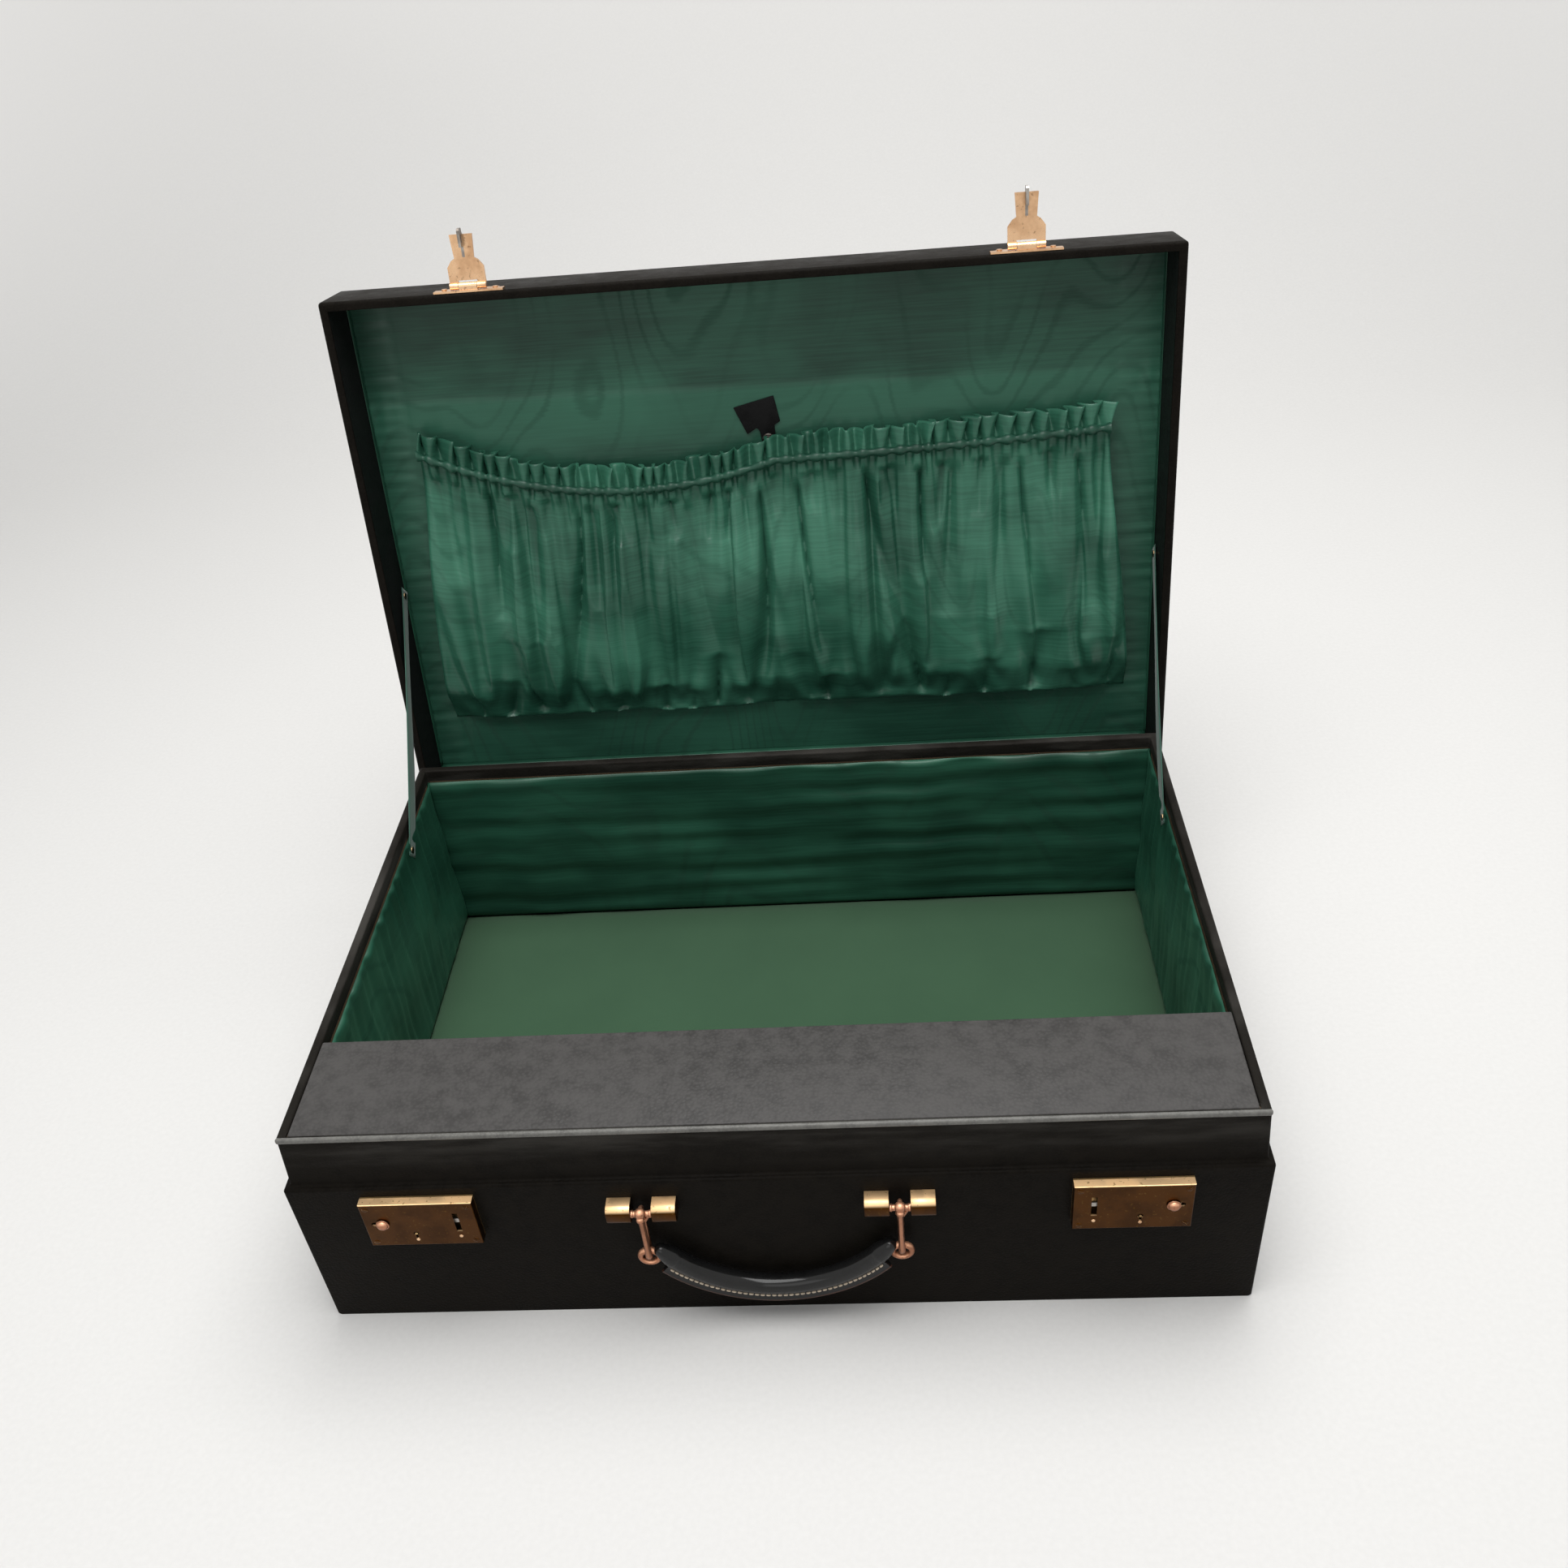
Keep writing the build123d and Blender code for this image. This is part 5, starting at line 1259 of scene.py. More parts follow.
def crease_lines():
    """Each crease: its place, slant and bend across the cloth, where it starts and ends, depth, width."""
    chance = random.Random(61)
    lines = []
    for number in range(TOP_CREASES):
        place = (number + chance.uniform(0.1, 0.9)) / TOP_CREASES
        far = TOP_EDGE - 0.16 - 0.75 * chance.random() ** 2.2
        slant, bend = chance.uniform(-0.07, 0.07), chance.uniform(-0.05, 0.05)
        deep, wide = chance.uniform(0.45, 1.0), chance.uniform(4.0, 8.0) * MM
        lines.append((place, slant, bend, TOP_EDGE, far, deep, wide))
    for number in range(FOOT_CREASES):
        place = (number + chance.uniform(0.1, 0.9)) / FOOT_CREASES
        far = 0.12 + 0.36 * chance.random() ** 1.6
        slant, bend = chance.uniform(-0.12, 0.12), chance.uniform(-0.1, 0.1)
        deep, wide = chance.uniform(0.5, 1.0), chance.uniform(4.5, 9.0) * MM
        lines.append((place, slant, bend, FOOT_EDGE, far, deep, wide))
    return lines


def creased(u, v):
    """How much the creases draw the cloth in, 0 to 1: sharp valleys that leave round bellies between."""
    depth = 0 * u
    for place, slant, bend, start, far, deep, wide in crease_lines():
        along = np.clip((v - start) / (far - start), 0, 1)
        run = np.abs(v - start)
        middle = place + slant * run + bend * run * run
        strong = (1 - along) ** 0.6 * ramp(along, 0, 0.10)
        away = np.abs(u - middle) * POCKET_WIDE / (wide * (0.6 + 0.8 * along))
        depth = np.maximum(depth, deep * strong * np.exp(-(away ** 1.15)))
    ends = ramp(np.minimum(u, 1 - u), 0, 0.02)
    return depth * ends * ramp(v, 0, 0.03) * (1 - ramp(v, 0.94, 0.99))


def hang(cloth, u, v):
    """Let the cloth fall. The work is done ten times life size, where the solver is steadier."""
    scene = bpy.context.scene
    flat = np.stack(flat_cut(u, v), axis=1) * SIM_SCALE
    start = np.stack(pocket_start(u, v), axis=1) * SIM_SCALE
    plane = panel_behind()
    pick(cloth)
    cloth.data.vertices.foreach_set("co", flat.astype(np.float32).ravel())
    cloth.shape_key_add(name="flat")
    gathered = cloth.shape_key_add(name="gathered")
    gathered.data.foreach_set("co", start.astype(np.float32).ravel())
    gathered.value = 1.0
    number = np.arange(len(u)).reshape(POCKET_ROWS + 1, POCKET_COLUMNS + 1)
    seam = int(np.argmin(np.abs(start[: POCKET_COLUMNS + 1, 0] - BAY_JOIN * SIM_SCALE)))
    held = {*number[-2:].ravel(), *number[0], *number[:, 0], *number[:, -1], *number[:, seam]}
    pins = cloth.vertex_groups.new(name="pins")
    pins.add([int(index) for index in sorted(held)], 1.0, "REPLACE")
    fall = cloth.modifiers.new("fall", "CLOTH")
    fall.settings.rest_shape_key = cloth.data.shape_keys.key_blocks["flat"]
    fall.settings.vertex_group_mass = "pins"
    for label, value in (
        ("quality", 6),
        ("mass", 0.15),
        ("air_damping", 2.0),
        ("tension_stiffness", 15.0),
        ("compression_stiffness", 15.0),
        ("shear_stiffness", 3.0),
        ("bending_stiffness", 2.0),
        ("use_pressure", True),
        ("uniform_pressure_force", 1.2),
    ):
        setattr(fall.settings, label, value)
    fall.collision_settings.distance_min = 0.4 * MM * SIM_SCALE
    fall.collision_settings.use_self_collision = False
    fall.point_cache.frame_end = SIM_FRAMES
    usual = scene.gravity.copy()
    scene.gravity = 2.5 * (LID.to_3x3().inverted() @ usual)
    for frame_number in range(1, SIM_FRAMES + 1):
        scene.frame_set(frame_number)
    fallen = bpy.data.meshes.new_from_object(cloth.evaluated_get(bpy.context.evaluated_depsgraph_get()))
    places = np.zeros(3 * len(fallen.vertices), np.float32)
    fallen.vertices.foreach_get("co", places)
    scene.frame_set(1)
    scene.gravity = usual
    cloth.modifiers.clear()
    cloth.shape_key_clear()
    cloth.vertex_groups.clear()
    bpy.data.meshes.remove(fallen)
    bpy.data.objects.remove(plane)
    places = eased(places.reshape(POCKET_ROWS + 1, POCKET_COLUMNS + 1, 3), v).reshape(-1, 3)
    out = PANEL_LOW.z - places[:, 2] / SIM_SCALE
    print("pocket stands off by", np.percentile(out, (5, 50, 95, 100)).round(4))
    drawn = creased(u, v)
    filled = BILLOW * ramp(v, 0, 0.16) * (1 - ramp(v, 0.5, 0.97))
    out = out * (1 - CREASE_DRAWS * drawn) + filled * (1 - CREASE_DENTS * drawn)
    places[:, 2] = (PANEL_LOW.z - np.clip(out, 2 * OFF_PANEL, BELLY_OUT + 4 * MM)) * SIM_SCALE
    # The crease amount is kept on the cloth, where the pocket's silk uses it to paint shade into the
    # creases.
    layer = cloth.data.attributes.new("crease", "FLOAT", "POINT")
    layer.data.foreach_set("value", drawn.astype(np.float32))
    cloth.data.vertices.foreach_set("co", places.ravel() / SIM_SCALE)
    cloth.data.update()


pocket = grid_cloth("pocket_silk_bays", POCKET_COLUMNS, POCKET_ROWS, pocket_start, (CUT_WIDTH, CUT_LENGTH))
corners = np.array([loop.uv[:] for loop in pocket.data.uv_layers["cloth"].data])
owners = np.array([loop.vertex_index for loop in pocket.data.loops])
per_vertex = np.zeros((len(pocket.data.vertices), 2))
per_vertex[owners] = corners / (CUT_WIDTH, CUT_LENGTH)
hang(pocket, per_vertex[:, 0], per_vertex[:, 1])
smooth(pocket, 80)
finish_cloth(pocket, (0, 0, -1))
to_lid(pocket)
dress(pocket, pocket_silk, "lid", ["pocket"])
print("pocket", len(pocket.data.polygons), "faces")

# %% [markdown]
# Above the elastic the silk's edge stands up as a ruffle, and the elastic itself sits in a narrow casing
# that the gathers pull into beads. Both follow the same gathers as the cloth below.

# %% Frill and casing
FRILL_TALL = 17 * MM
FRILL_CUT = 0.94
CASING_THICK = 3.0 * MM
EDGE_COLUMNS = 552
ruffle = Pleats(46, 44, (0.7, 1.3), (0.6, 1.3))


def frill_place(u, v):
    wave = gathers(u)
    tall = FRILL_TALL * (0.78 + 0.26 * np.interp(u, ruffle.places, ruffle.sizes))
    lean = 2.2 * MM * np.sin(gathers.phase(u) + 0.8) * v + 3.2 * MM * ruffle(u) * v * v
    s = heading_line(heading_x(u)) + v * tall - 0.9 * MM * np.abs(wave) * v
    out = MOUTH_OUT * (1 - 0.25 * v) + gathers.width / math.tau * wave * (1.8 + 1.5 * v)
    return heading_x(u) + lean, -s, PANEL_LOW.z - OFF_PANEL - np.maximum(out, 2 * OFF_PANEL)


def casing_place(u, v):
    around = v * math.tau
    thick = CASING_THICK * (1 + 0.28 * np.cos(gathers.phase(u)) + 0.08 * ruffle(u))
    s = heading_line(heading_x(u)) + thick * np.sin(around)
    out = MOUTH_OUT + 1.6 * MM + thick * 0.9 * np.cos(around)
    return heading_x(u), -s, PANEL_LOW.z - OFF_PANEL - out


frill = smooth(grid_cloth("pocket_frill", EDGE_COLUMNS, 9, frill_place, (FRILL_CUT, FRILL_TALL)), 80)
finish_cloth(frill, (0, 0, -1))
to_lid(frill)
dress(frill, pocket_silk, "lid")

CASING_SIZE = (CUT_WIDTH, 16 * MM)
casing = grid_cloth("pocket_elastic_casing", EDGE_COLUMNS, 12, casing_place, CASING_SIZE)
edit(casing)
weld()
face_outwards()
smooth(casing, 80)
to_lid(casing)
# The casing is sewn from the pocket's silk but takes the darker plain silk: a painted shade that tones down
# the light its round tube catches.
dress(casing, plain_silk, "lid")
print("frill and casing", len(frill.data.polygons), len(casing.data.polygons))

# %% [markdown]
# ## Handle grip
# The grip is leather sewn round a core, and the seam is left as a flat welt that hangs down and a little
# forwards. One cross-section is drawn as a circle with a few points pulled out, and spun about the
# middle of the handle's arc. The stitches are one small turned piece, copied along the welt.

# %% Grip
GRIP_LOW, GRIP_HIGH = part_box("handle_grip")
GRIP_RADIUS = 6.0 * MM
ARC_CENTRE = Vector((0, (GRIP_LOW.y + GRIP_HIGH.y) / 2, 111.8 * MM))
ARC_RADIUS = 78.3 * MM
GRIP_HALF = 59.5 * MM
ARC_HALF = math.asin(GRIP_HALF / ARC_RADIUS)
WELT_LEAN = math.radians(27)
PROFILE_POINTS = 40
WELT_POINTS = ((3.9, 0.0), (3.6, 1.25), (2.0, 1.5), (0.3, 1.7), (-0.8, 2.7))
WELT_OUT = WELT_POINTS[0][0] * MM
WELT_WAY = Vector((0, -math.sin(WELT_LEAN), -math.cos(WELT_LEAN)))
ACROSS_WELT = Vector((0, math.cos(WELT_LEAN), -math.sin(WELT_LEAN)))
GRIP_FOOT = ARC_CENTRE + Vector((0, 0, -ARC_RADIUS))


def along_arc(angle):
    """Carries what is drawn at the lowest point of the grip along its arc."""
    centre = Matrix.Translation(ARC_CENTRE)
    return centre @ Matrix.Rotation(angle, 4, "Y") @ centre.inverted()


def grip_profile(name):
    """A circle at the lowest point of the arc, with its welt."""
    ring = circle(name, PROFILE_POINTS)
    for index, vertex in enumerate(ring.data.vertices):
        angle = math.tau * index / PROFILE_POINTS
        reach, side = GRIP_RADIUS * math.cos(angle), GRIP_RADIUS * math.sin(angle)
        step = min(index, PROFILE_POINTS - index)
        if step < len(WELT_POINTS):
            out, half = (size * MM for size in WELT_POINTS[step])
            reach, side = GRIP_RADIUS + out, math.copysign(half, side)
        vertex.co = GRIP_FOOT + WELT_WAY * reach + ACROSS_WELT * side
    return settle(ring)


def cord_profile(name, radius):
    """A small ring on the tip of the welt."""
    ring = settle(circle(name, 10, radius, rotation=(0, math.pi / 2, 0)))
    ring.data.transform(Matrix.Translation(GRIP_FOOT + WELT_WAY * (GRIP_RADIUS + WELT_OUT - 0.2 * MM)))
    return ring


def spun(ring):
    """The profile spun from one end of the handle to the other, and closed at both ends."""
    ring.data.transform(along_arc(ARC_HALF))
    edit(ring)
    bpy.ops.mesh.spin(steps=64, angle=2 * ARC_HALF, center=ARC_CENTRE, axis=(0, 1, 0))
    weld()
    bpy.ops.mesh.select_mode(type="EDGE")
    bpy.ops.mesh.select_all(action="DESELECT")
    bpy.ops.mesh.select_non_manifold()
    bpy.ops.mesh.edge_face_add()
    face_outwards()
    return smooth(ring, 45)


grip = spun(grip_profile("grip_leather"))
dress(grip, grip_black, "handle", ["handle_grip"])
welt_edge = spun(cord_profile("grip_welt_edge", 1.0 * MM))
dress(welt_edge, welt_brown, "handle")

STITCH = ((0.2, -1.35), (0.62, -1.0), (0.72, 0.0), (0.62, 1.0), (0.2, 1.35))
STITCH_GAP = 3.3 * MM
STITCHED = 0.95 * ARC_HALF
stitch_count = int(2 * STITCHED * (ARC_RADIUS + GRIP_RADIUS) / STITCH_GAP)
stitch_turns = [
    along_arc(STITCHED * (2 * number / (stitch_count - 1) - 1)) for number in range(stitch_count)
]
for side, label in ((-1, "front"), (1, "back")):
    spot = GRIP_FOOT + WELT_WAY * (GRIP_RADIUS + 0.2 * MM) + ACROSS_WELT * side * 2.05 * MM
    stitch = turned("stitch", STITCH, spot, (1, 0, 0.05), sides=6)
    row = repeat(f"grip_stitches_{label}", stitch, stitch_turns)
    dress(smooth(row, 60), cream_thread, "handle")

END_CAP = (
    (5.6, -1.5), (6.1, -0.2), (6.1, 1.6), (5.7, 4.0), (5.0, 7.0), (4.3, 10.0), (3.5, 12.4),
    (2.2, 13.6), (0.6, 14.0),
)
for side, label in SIDES:
    end = along_arc(-side * ARC_HALF) @ GRIP_FOOT
    way = along_arc(-side * ARC_HALF).to_3x3() @ Vector((side, 0, 0))
    cap = turned(f"grip_end_{label}", END_CAP, end, way, sides=28)
    dress(smooth(cap, 40), grip_black, "handle")
print("grip", len(grip.data.polygons), "faces,", stitch_count, "stitches a row")

# %% [markdown]
# ## Handle fittings
# Each shackle is a shank with a round head that sits in front of the pin, between two mount blocks with
# rounded noses. The eye at each end of the grip is a stout ring. Head and shank are turned as one.

# %% Handle fittings
MOUNT_LOW, MOUNT_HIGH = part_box("handle_mounts")
MOUNT_SPOTS = (-86, -60, 60, 86)
MOUNT_HALF = 7.0 * MM
NOSE = 4.2 * MM


def has_nose(mount, edge):
    """Whether an edge of the block runs across it at the front."""
    first, second = (mount.data.vertices[index].co for index in edge.vertices)
    return max(first.y, second.y) < MOUNT_LOW.y + 1 * MM and abs(first.x - second.x) > MM


blocks = []
for spot in MOUNT_SPOTS:
    x = spot * MM
    mount = block(
        "mount",
        (x - MOUNT_HALF, MOUNT_LOW.y + 0.7 * MM, MOUNT_LOW.z + 0.6 * MM),
        (x + MOUNT_HALF, MOUNT_HIGH.y, MOUNT_HIGH.z - 1.4 * MM),
    )
    pick_faces(mount, lambda centre, normal: False)
    bpy.ops.mesh.select_mode(type="EDGE")
    leave_edit()
    for edge in mount.data.edges:
        edge.select = has_nose(mount, edge)
    bpy.ops.object.mode_set(mode="EDIT")
    bpy.ops.mesh.bevel(offset=NOSE, segments=6, profile=0.5)
    leave_edit()
    bevel(mount, 0.45 * MM, segments=2, angle=50)
    blocks.append(mount)
mounts = join("mount_blocks", blocks)
smooth(mounts, 35)
dress(mounts, brass, "case", ["handle_mounts"])

PIN = Vector((0, -188.6 * MM, 102.5 * MM))
HANDLE_SPOT = 73.0 * MM
COLLAR = ((2.0, 0.0), (2.3, 0.4), (2.3, 1.2), (1.8, 1.8))
collar_pair = [
    turned("collar", COLLAR, PIN - Vector((side * 6 * MM, 0, 0)), (side, 0, 0)) for side in (1, -1)
]
places = [Matrix.Translation((side * HANDLE_SPOT, 0, 0)) for side in (-1, 1)]
collars = repeat("pin_collars", join("collar", collar_pair), places)
dress(smooth(collars, 40), copper, "case")

SHANK = (
    (1.3, 64.6), (2.1, 65.8), (2.2, 68.0), (1.9, 72.0), (1.8, 80.0), (1.8, 94.0), (2.1, 100.0),
    (2.7, 100.8), (2.1, 101.6), (2.5, 103.0), (3.0, 104.3), (3.1, 105.7), (2.9, 107.2), (2.1, 108.3),
    (1.0, 108.8), (0.2, 108.9),
)
LUG = ((0.5, 0), (1.2, 0.8), (1.2, 8.6), (1.5, 9.2), (0.6, 10.4))
LUG_PLACE = (0.6 * MM, PIN.y - 1.8 * MM, 96.5 * MM)
shank = turned("shank", SHANK, (0, PIN.y - 2.3 * MM, 0))
lug = turned("lug", LUG, LUG_PLACE, (0.55, 0.2, 0.8), sides=14)
shanks = repeat("shackle_shanks", join("shank", [shank, lug]), places)
dress(smooth(shanks, 40), copper, "shackle_pair")

EYE = Vector((HANDLE_SPOT, PIN.y, 63.5 * MM))
EYE_RADIUS = 5.3 * MM
EYE_WIRE = 2.05 * MM


def eye_ring(side):
    """A stout ring, its section flattened a little where the shackle has worn it."""
    middle = Vector((side * EYE.x, EYE.y, EYE.z))
    ring = settle(circle(f"eye_{side}", 16, EYE_WIRE))
    for vertex in ring.data.vertices:
        inner = max(0.0, -vertex.co.x / EYE_WIRE)
        vertex.co.x *= 1 - 0.3 * inner
    ring.data.transform(Matrix.Translation(middle + Vector((EYE_RADIUS, 0, 0))))
    edit(ring)
    bpy.ops.mesh.spin(steps=36, angle=math.tau, center=middle, axis=(0, 1, 0))
    weld()
    face_outwards()
    return ring


eyes = join("handle_eye_rings", [eye_ring(-1), eye_ring(1)])
dress(smooth(eyes, 50), copper, "handle", ["handle_eyes"])
print("handle fittings", len(mounts.data.polygons), len(shanks.data.polygons), len(eyes.data.polygons))

# %% [markdown]
# ## Lock fittings
# The thumb button is a low dome on a collar. The screws are round-headed with a cut slot, and each lock
# has two small pins that show pale. Each is made once and copied to its places.

# %% Lock fittings
LOCK_LOW, LOCK_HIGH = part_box("lock_cover_left")
LOCK_FRONT = LOCK_LOW.y
DOME = (
    (1.4, -0.8), (1.4, 0.25), (3.5, 0.3), (3.9, 0.6), (3.85, 1.1), (3.3, 1.3), (3.1, 1.9), (2.6, 2.5),
    (1.8, 2.95), (0.9, 3.15), (0.2, 3.2),
)
for side, label in SIDES:
    spot = (side * 224.0 * MM, LOCK_FRONT, 97.0 * MM)
    button = turned(f"thumb_button_{label}", DOME, spot, (0, -1, 0), sides=28)
    dress(smooth(button, 40), copper, f"bolt_{label}", [f"lock_button_{label}"])

LOCK_MIDDLE = (LOCK_LOW + LOCK_HIGH) / 2
SCREW_OUT, SCREW_UP = 29.4 * MM, 14.9 * MM
SCREW = ((1.2, -2.0), (1.2, -0.12), (1.95, -0.1), (2.0, 0.04), (1.7, 0.14), (1.1, 0.19), (0.3, 0.2))
screw = turned("screw", SCREW, (0, 0, 0), (0, -1, 0), sides=20)
driver = block("driver", (-3 * MM, -1.2 * MM, -0.25 * MM), (3 * MM, 0.1 * MM, 0.25 * MM))
screw = cut(screw, driver)
chance = random.Random(31)
screw_turns = [
    Matrix.Translation((side * -LOCK_MIDDLE.x + x * SCREW_OUT, LOCK_FRONT, LOCK_MIDDLE.z + z * SCREW_UP))
    @ Matrix.Rotation(chance.uniform(0, math.pi), 4, "Y")
    for side in (-1, 1) for x in (-1, 1) for z in (-1, 1)
]
screws = repeat("lock_screw_heads", screw, screw_turns)
dress(smooth(screws, 35), brass, "case", ["lock_screws"])

PIN_HEAD = ((1.0, -0.2), (1.15, 0.15), (0.95, 0.45), (0.4, 0.6))
PIN_SPOTS = ((180.5, 84.6), (206.4, 82.4))
pin_head = turned("pin_head", PIN_HEAD, (0, 0, 0), (0, -1, 0), sides=16)
pin_turns = [
    Matrix.Translation((side * x * MM, LOCK_FRONT, z * MM)) for side in (-1, 1) for x, z in PIN_SPOTS
]
pin_heads = repeat("lock_pin_heads", pin_head, pin_turns)
dress(smooth(pin_heads, 40), rose_gilt, "case")
print("lock fittings", len(screws.data.polygons), len(pin_heads.data.polygons))

# %% [markdown]
# ## Leather tab
# A stiff leather tab hangs above the pocket, a little askew, and its narrow tongue is held by a dark
# button. It is a plate cut to its outline, with its edges rounded.

# %% Tab and button
TAB_BACK = PANEL_LOW.z - PANEL_SILK
TAB_THICK = 1.5 * MM
TAB_OUTLINE = (
    (-18.4, 275.8), (10.2, 282.5), (13.6, 264.5), (9.4, 262.0), (9.8, 253.0), (7.5, 248.8),
    (3.0, 248.2), (0.0, 250.6), (-1.2, 258.6), (-3.2, 260.8), (-10.0, 256.7),
)


def outline_plate(name, outline, low, high):
    """A plate with a given outline: a circle whose points go to the corners, then pulled up."""
    plate = circle(name, len(outline), fill_type="NGON")
    for vertex, (x, s) in zip(plate.data.vertices, outline):
        vertex.co = (x * MM, -s * MM, low)
    edit(plate)
    pull(high - low)
    face_outwards()
    return settle(plate)


tab = outline_plate("tab_leather", TAB_OUTLINE, TAB_BACK - TAB_THICK, TAB_BACK + 0.2 * MM)
bevel(tab, 0.45 * MM, segments=3)
dress(to_lid(smooth(tab)), strip_leather, "lid", ["pocket_tab"])
BUTTON = ((4.0, 0.0), (4.5, 0.4), (4.4, 1.2), (3.6, 1.7), (3.1, 1.5), (2.2, 1.9), (0.8, 2.3), (0.2, 2.35))
BUTTON_PLACE = (4.6 * MM, -252.2 * MM, TAB_BACK - 0.6 * MM)
tab_button = turned("tab_button", BUTTON, BUTTON_PLACE, (0, 0, -1), sides=28)
dress(to_lid(smooth(tab_button, 40)), dark_metal, "lid", ["tab_stud"])
print("tab made")

# %% [markdown]
# ## Ribbon stays
# Two grosgrain ribbons stop the lid. Each hangs between a rivet in the well's wall and one in the lid,
# with a slight bow. A ribbon crosses the hinge, so it is tied to neither the case nor the lid and keeps the
# shape it has with the lid open.

# %% Ribbons
RIBBON_WIDE = 12.0 * MM
RIBBON_THICK = 0.45 * MM
RIBBON_TAIL = 4.8 * MM
RIBBON_BOW = 1.6 * MM
ribbons = []
for side, label in SIDES:
    upper = LID @ Vector((side * 274.5 * MM, -155.0 * MM, 31.5 * MM))
    lower = Vector((side * 265.3 * MM, 100.0 * MM, 141.0 * MM))
    reach = upper - lower
    way = reach.normalized()
    flat_way = way.cross(Vector((1, 0, 0))).normalized()
    start = lower - way * RIBBON_TAIL
    full = reach.length + 2 * RIBBON_TAIL

    def ribbon_place(u, v):
        bow = RIBBON_BOW * np.sin(np.pi * u) * (0.7 + 0.3 * np.cos(4 * u))
        curl = 0.35 * MM * (1 - (2 * v - 1) ** 2) * np.sin(np.pi * u)
        lean = 0.8 * MM * np.sin(2 * np.pi * u) * (v - 0.5)
        wide = RIBBON_WIDE * (v - 0.5)
        x, y, z = (start[i] + way[i] * full * u + flat_way[i] * wide for i in range(3))
        return x - side * (bow + curl + lean), y, z

    strip = smooth(grid_cloth(f"stay_ribbon_{label}", 90, 6, ribbon_place, (full, RIBBON_WIDE)), 70)
    modify(strip, "SOLIDIFY", thickness=RIBBON_THICK, offset=0)
    dress(strip, ribbon, None, [f"stay_{label}"])
    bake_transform(strip)
    ribbons.append(strip)
print("ribbons", [len(strip.data.polygons) for strip in ribbons])

# %% [markdown]
# ## Cut sizes
# Each piece of silk carries the size it was cut to, in metres, in its UV map. The glued ones are their
# wall's own size.
# The pocket and its frill are wider than the lid, because their fullness is in the gathers.

# %% [markdown]
# ## The camera and the light
# The camera looks down from above the front, a little to the right, and it is slightly rolled.

# %% Camera
CAMERA_PLACE = Vector((0.0774, -0.6935, 0.7781))
CAMERA_RIGHT = Vector((0.99635, 0.02982, -0.07996))
CAMERA_UP = Vector((0.04607, 0.60079, 0.79808))
CAMERA_BACK = CAMERA_RIGHT.cross(CAMERA_UP)
camera_data = bpy.data.cameras.new("camera")
camera_data.sensor_width = 36.0
camera_data.lens = 33.24
camera = bpy.data.objects.new("camera", camera_data)
bpy.context.scene.collection.objects.link(camera)
turn = Matrix((CAMERA_RIGHT, CAMERA_UP, CAMERA_BACK)).transposed().to_4x4()
camera.matrix_world = Matrix.Translation(CAMERA_PLACE) @ turn
bpy.context.scene.camera = camera

# %% [markdown]
# The floor is one sheet that curves up behind the case. Its far part glows as pale as the sky where the
# camera sees it or metal mirrors it. One big soft light hangs overhead, a small one stands in front and
# a weak sky fills the shadows.

# %% Floor, light and sky


def shown_directly(nodes):
    """1 where the camera, metal or glass sees the surface, and 0 where it only lights the case."""
    path = nodes.add("ShaderNodeLightPath").outputs
    mirrored = nodes.math("MAXIMUM", path["Is Glossy Ray"], path["Is Transmission Ray"])
    return nodes.math("MAXIMUM", path["Is Camera Ray"], mirrored)


FLOOR_SIDE = 3.0
FLOOR_NEAR = 2.4
FLOOR_FLAT = 1.1
FLOOR_BEND = 0.8
FLOOR_WALL = 2.0
PALE = (0.84, 0.83, 0.81, 1)
SKY_BLUE = (0.95, 0.97, 1.0, 1)
SKY_STRENGTH = 0.26
OVERHEAD_WATTS = 61
FILL_WATTS = 6


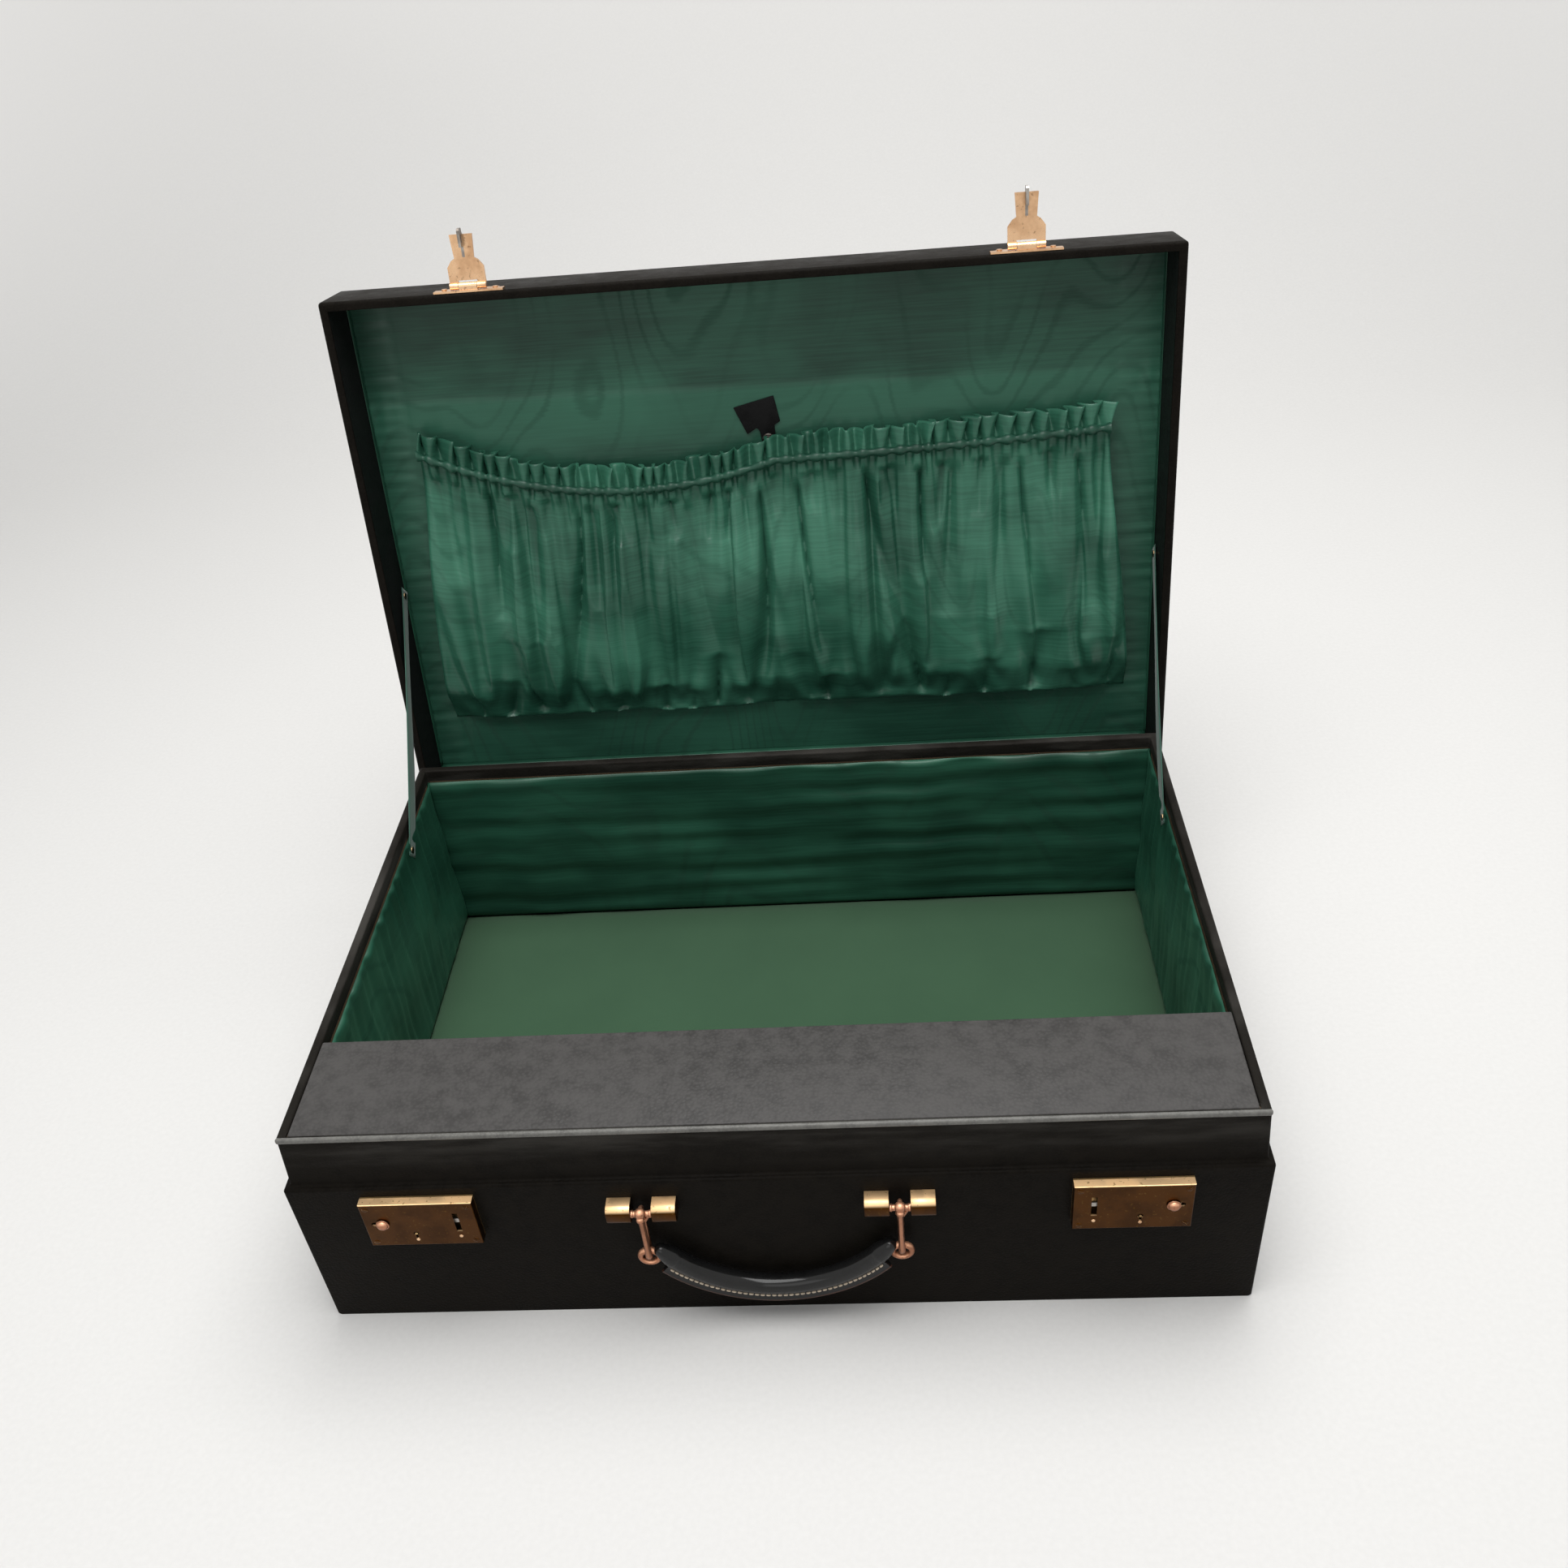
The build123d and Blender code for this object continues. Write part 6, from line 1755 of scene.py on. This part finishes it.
def pale_floor():
    """A large plain floor that curves up behind the case."""
    clear_selection()
    bpy.ops.mesh.primitive_grid_add(x_subdivisions=2, y_subdivisions=60, size=1)
    floor = bpy.context.object
    floor.name = "floor"
    bend = FLOOR_BEND * math.pi / 2
    length = FLOOR_NEAR + FLOOR_FLAT + bend + FLOOR_WALL
    for vertex in floor.data.vertices:
        along = (vertex.co.y + 0.5) * length - FLOOR_NEAR
        vertex.co.x *= 2 * FLOOR_SIDE
        angle = min(max(along - FLOOR_FLAT, 0), bend) / FLOOR_BEND
        wall = max(along - FLOOR_FLAT - bend, 0)
        vertex.co.y = min(along, FLOOR_FLAT) + FLOOR_BEND * math.sin(angle)
        vertex.co.z = FLOOR_BEND * (1 - math.cos(angle)) + wall
    material, nodes, shader = new_material("floor_paper", Roughness=0.9, Specular_IOR_Level=0.2)
    place = object_place(nodes)
    tooth = nodes.noise(place, 300.0)
    paper = nodes.mix(tooth, (0.70, 0.69, 0.67, 1), (0.76, 0.75, 0.73, 1))
    nodes.put(shader.inputs["Base Color"], paper)
    height = nodes.split(place)[2]
    far = nodes.vector("LENGTH", place)["Value"]
    edge = nodes.math("MAXIMUM", nodes.remap(height, 0.02, 0.9), nodes.remap(far, 1.4, 2.8))
    glow = nodes.add("ShaderNodeEmission", {"Color": PALE, "Strength": 1.0})
    both = nodes.add("ShaderNodeMixShader")
    nodes.put(both.inputs[0], nodes.times(shown_directly(nodes), edge))
    nodes.put(both.inputs[1], shader.outputs[0])
    nodes.put(both.inputs[2], glow.outputs[0])
    nodes.put(material.node_tree.nodes["Material Output"].inputs["Surface"], both.outputs[0])
    floor.data.materials.append(material)
    smooth(floor)


def soft_light(name, place, aim, size, power):
    """An area light that looks at a point."""
    data = bpy.data.lights.new(name, "AREA")
    data.shape = "RECTANGLE"
    data.size, data.size_y = size
    data.energy = power
    light = bpy.data.objects.new(name, data)
    bpy.context.scene.collection.objects.link(light)
    light.location = place
    light.rotation_euler = (Vector(aim) - Vector(place)).to_track_quat("-Z", "Y").to_euler()


pale_floor()
soft_light("overhead", (0.1, 0.0, 2.2), (0, 0.05, 0), (2.4, 1.6), OVERHEAD_WATTS)
soft_light("front_fill", (-0.6, -2.2, 1.5), (0, 0.1, 0.25), (1.6, 1.2), FILL_WATTS)
world = bpy.data.worlds.new("sky")
bpy.context.scene.world = world
world.use_nodes = True
sky = Nodes(world.node_tree)
background = world.node_tree.nodes["Background"]
seen = shown_directly(sky)
sky.put(background.inputs["Color"], sky.mix(seen, SKY_BLUE, PALE))
sky.put(background.inputs["Strength"], sky.remap(seen, 0.0, 1.0, SKY_STRENGTH, 1.0))
bpy.context.scene.view_settings.view_transform = "Standard"
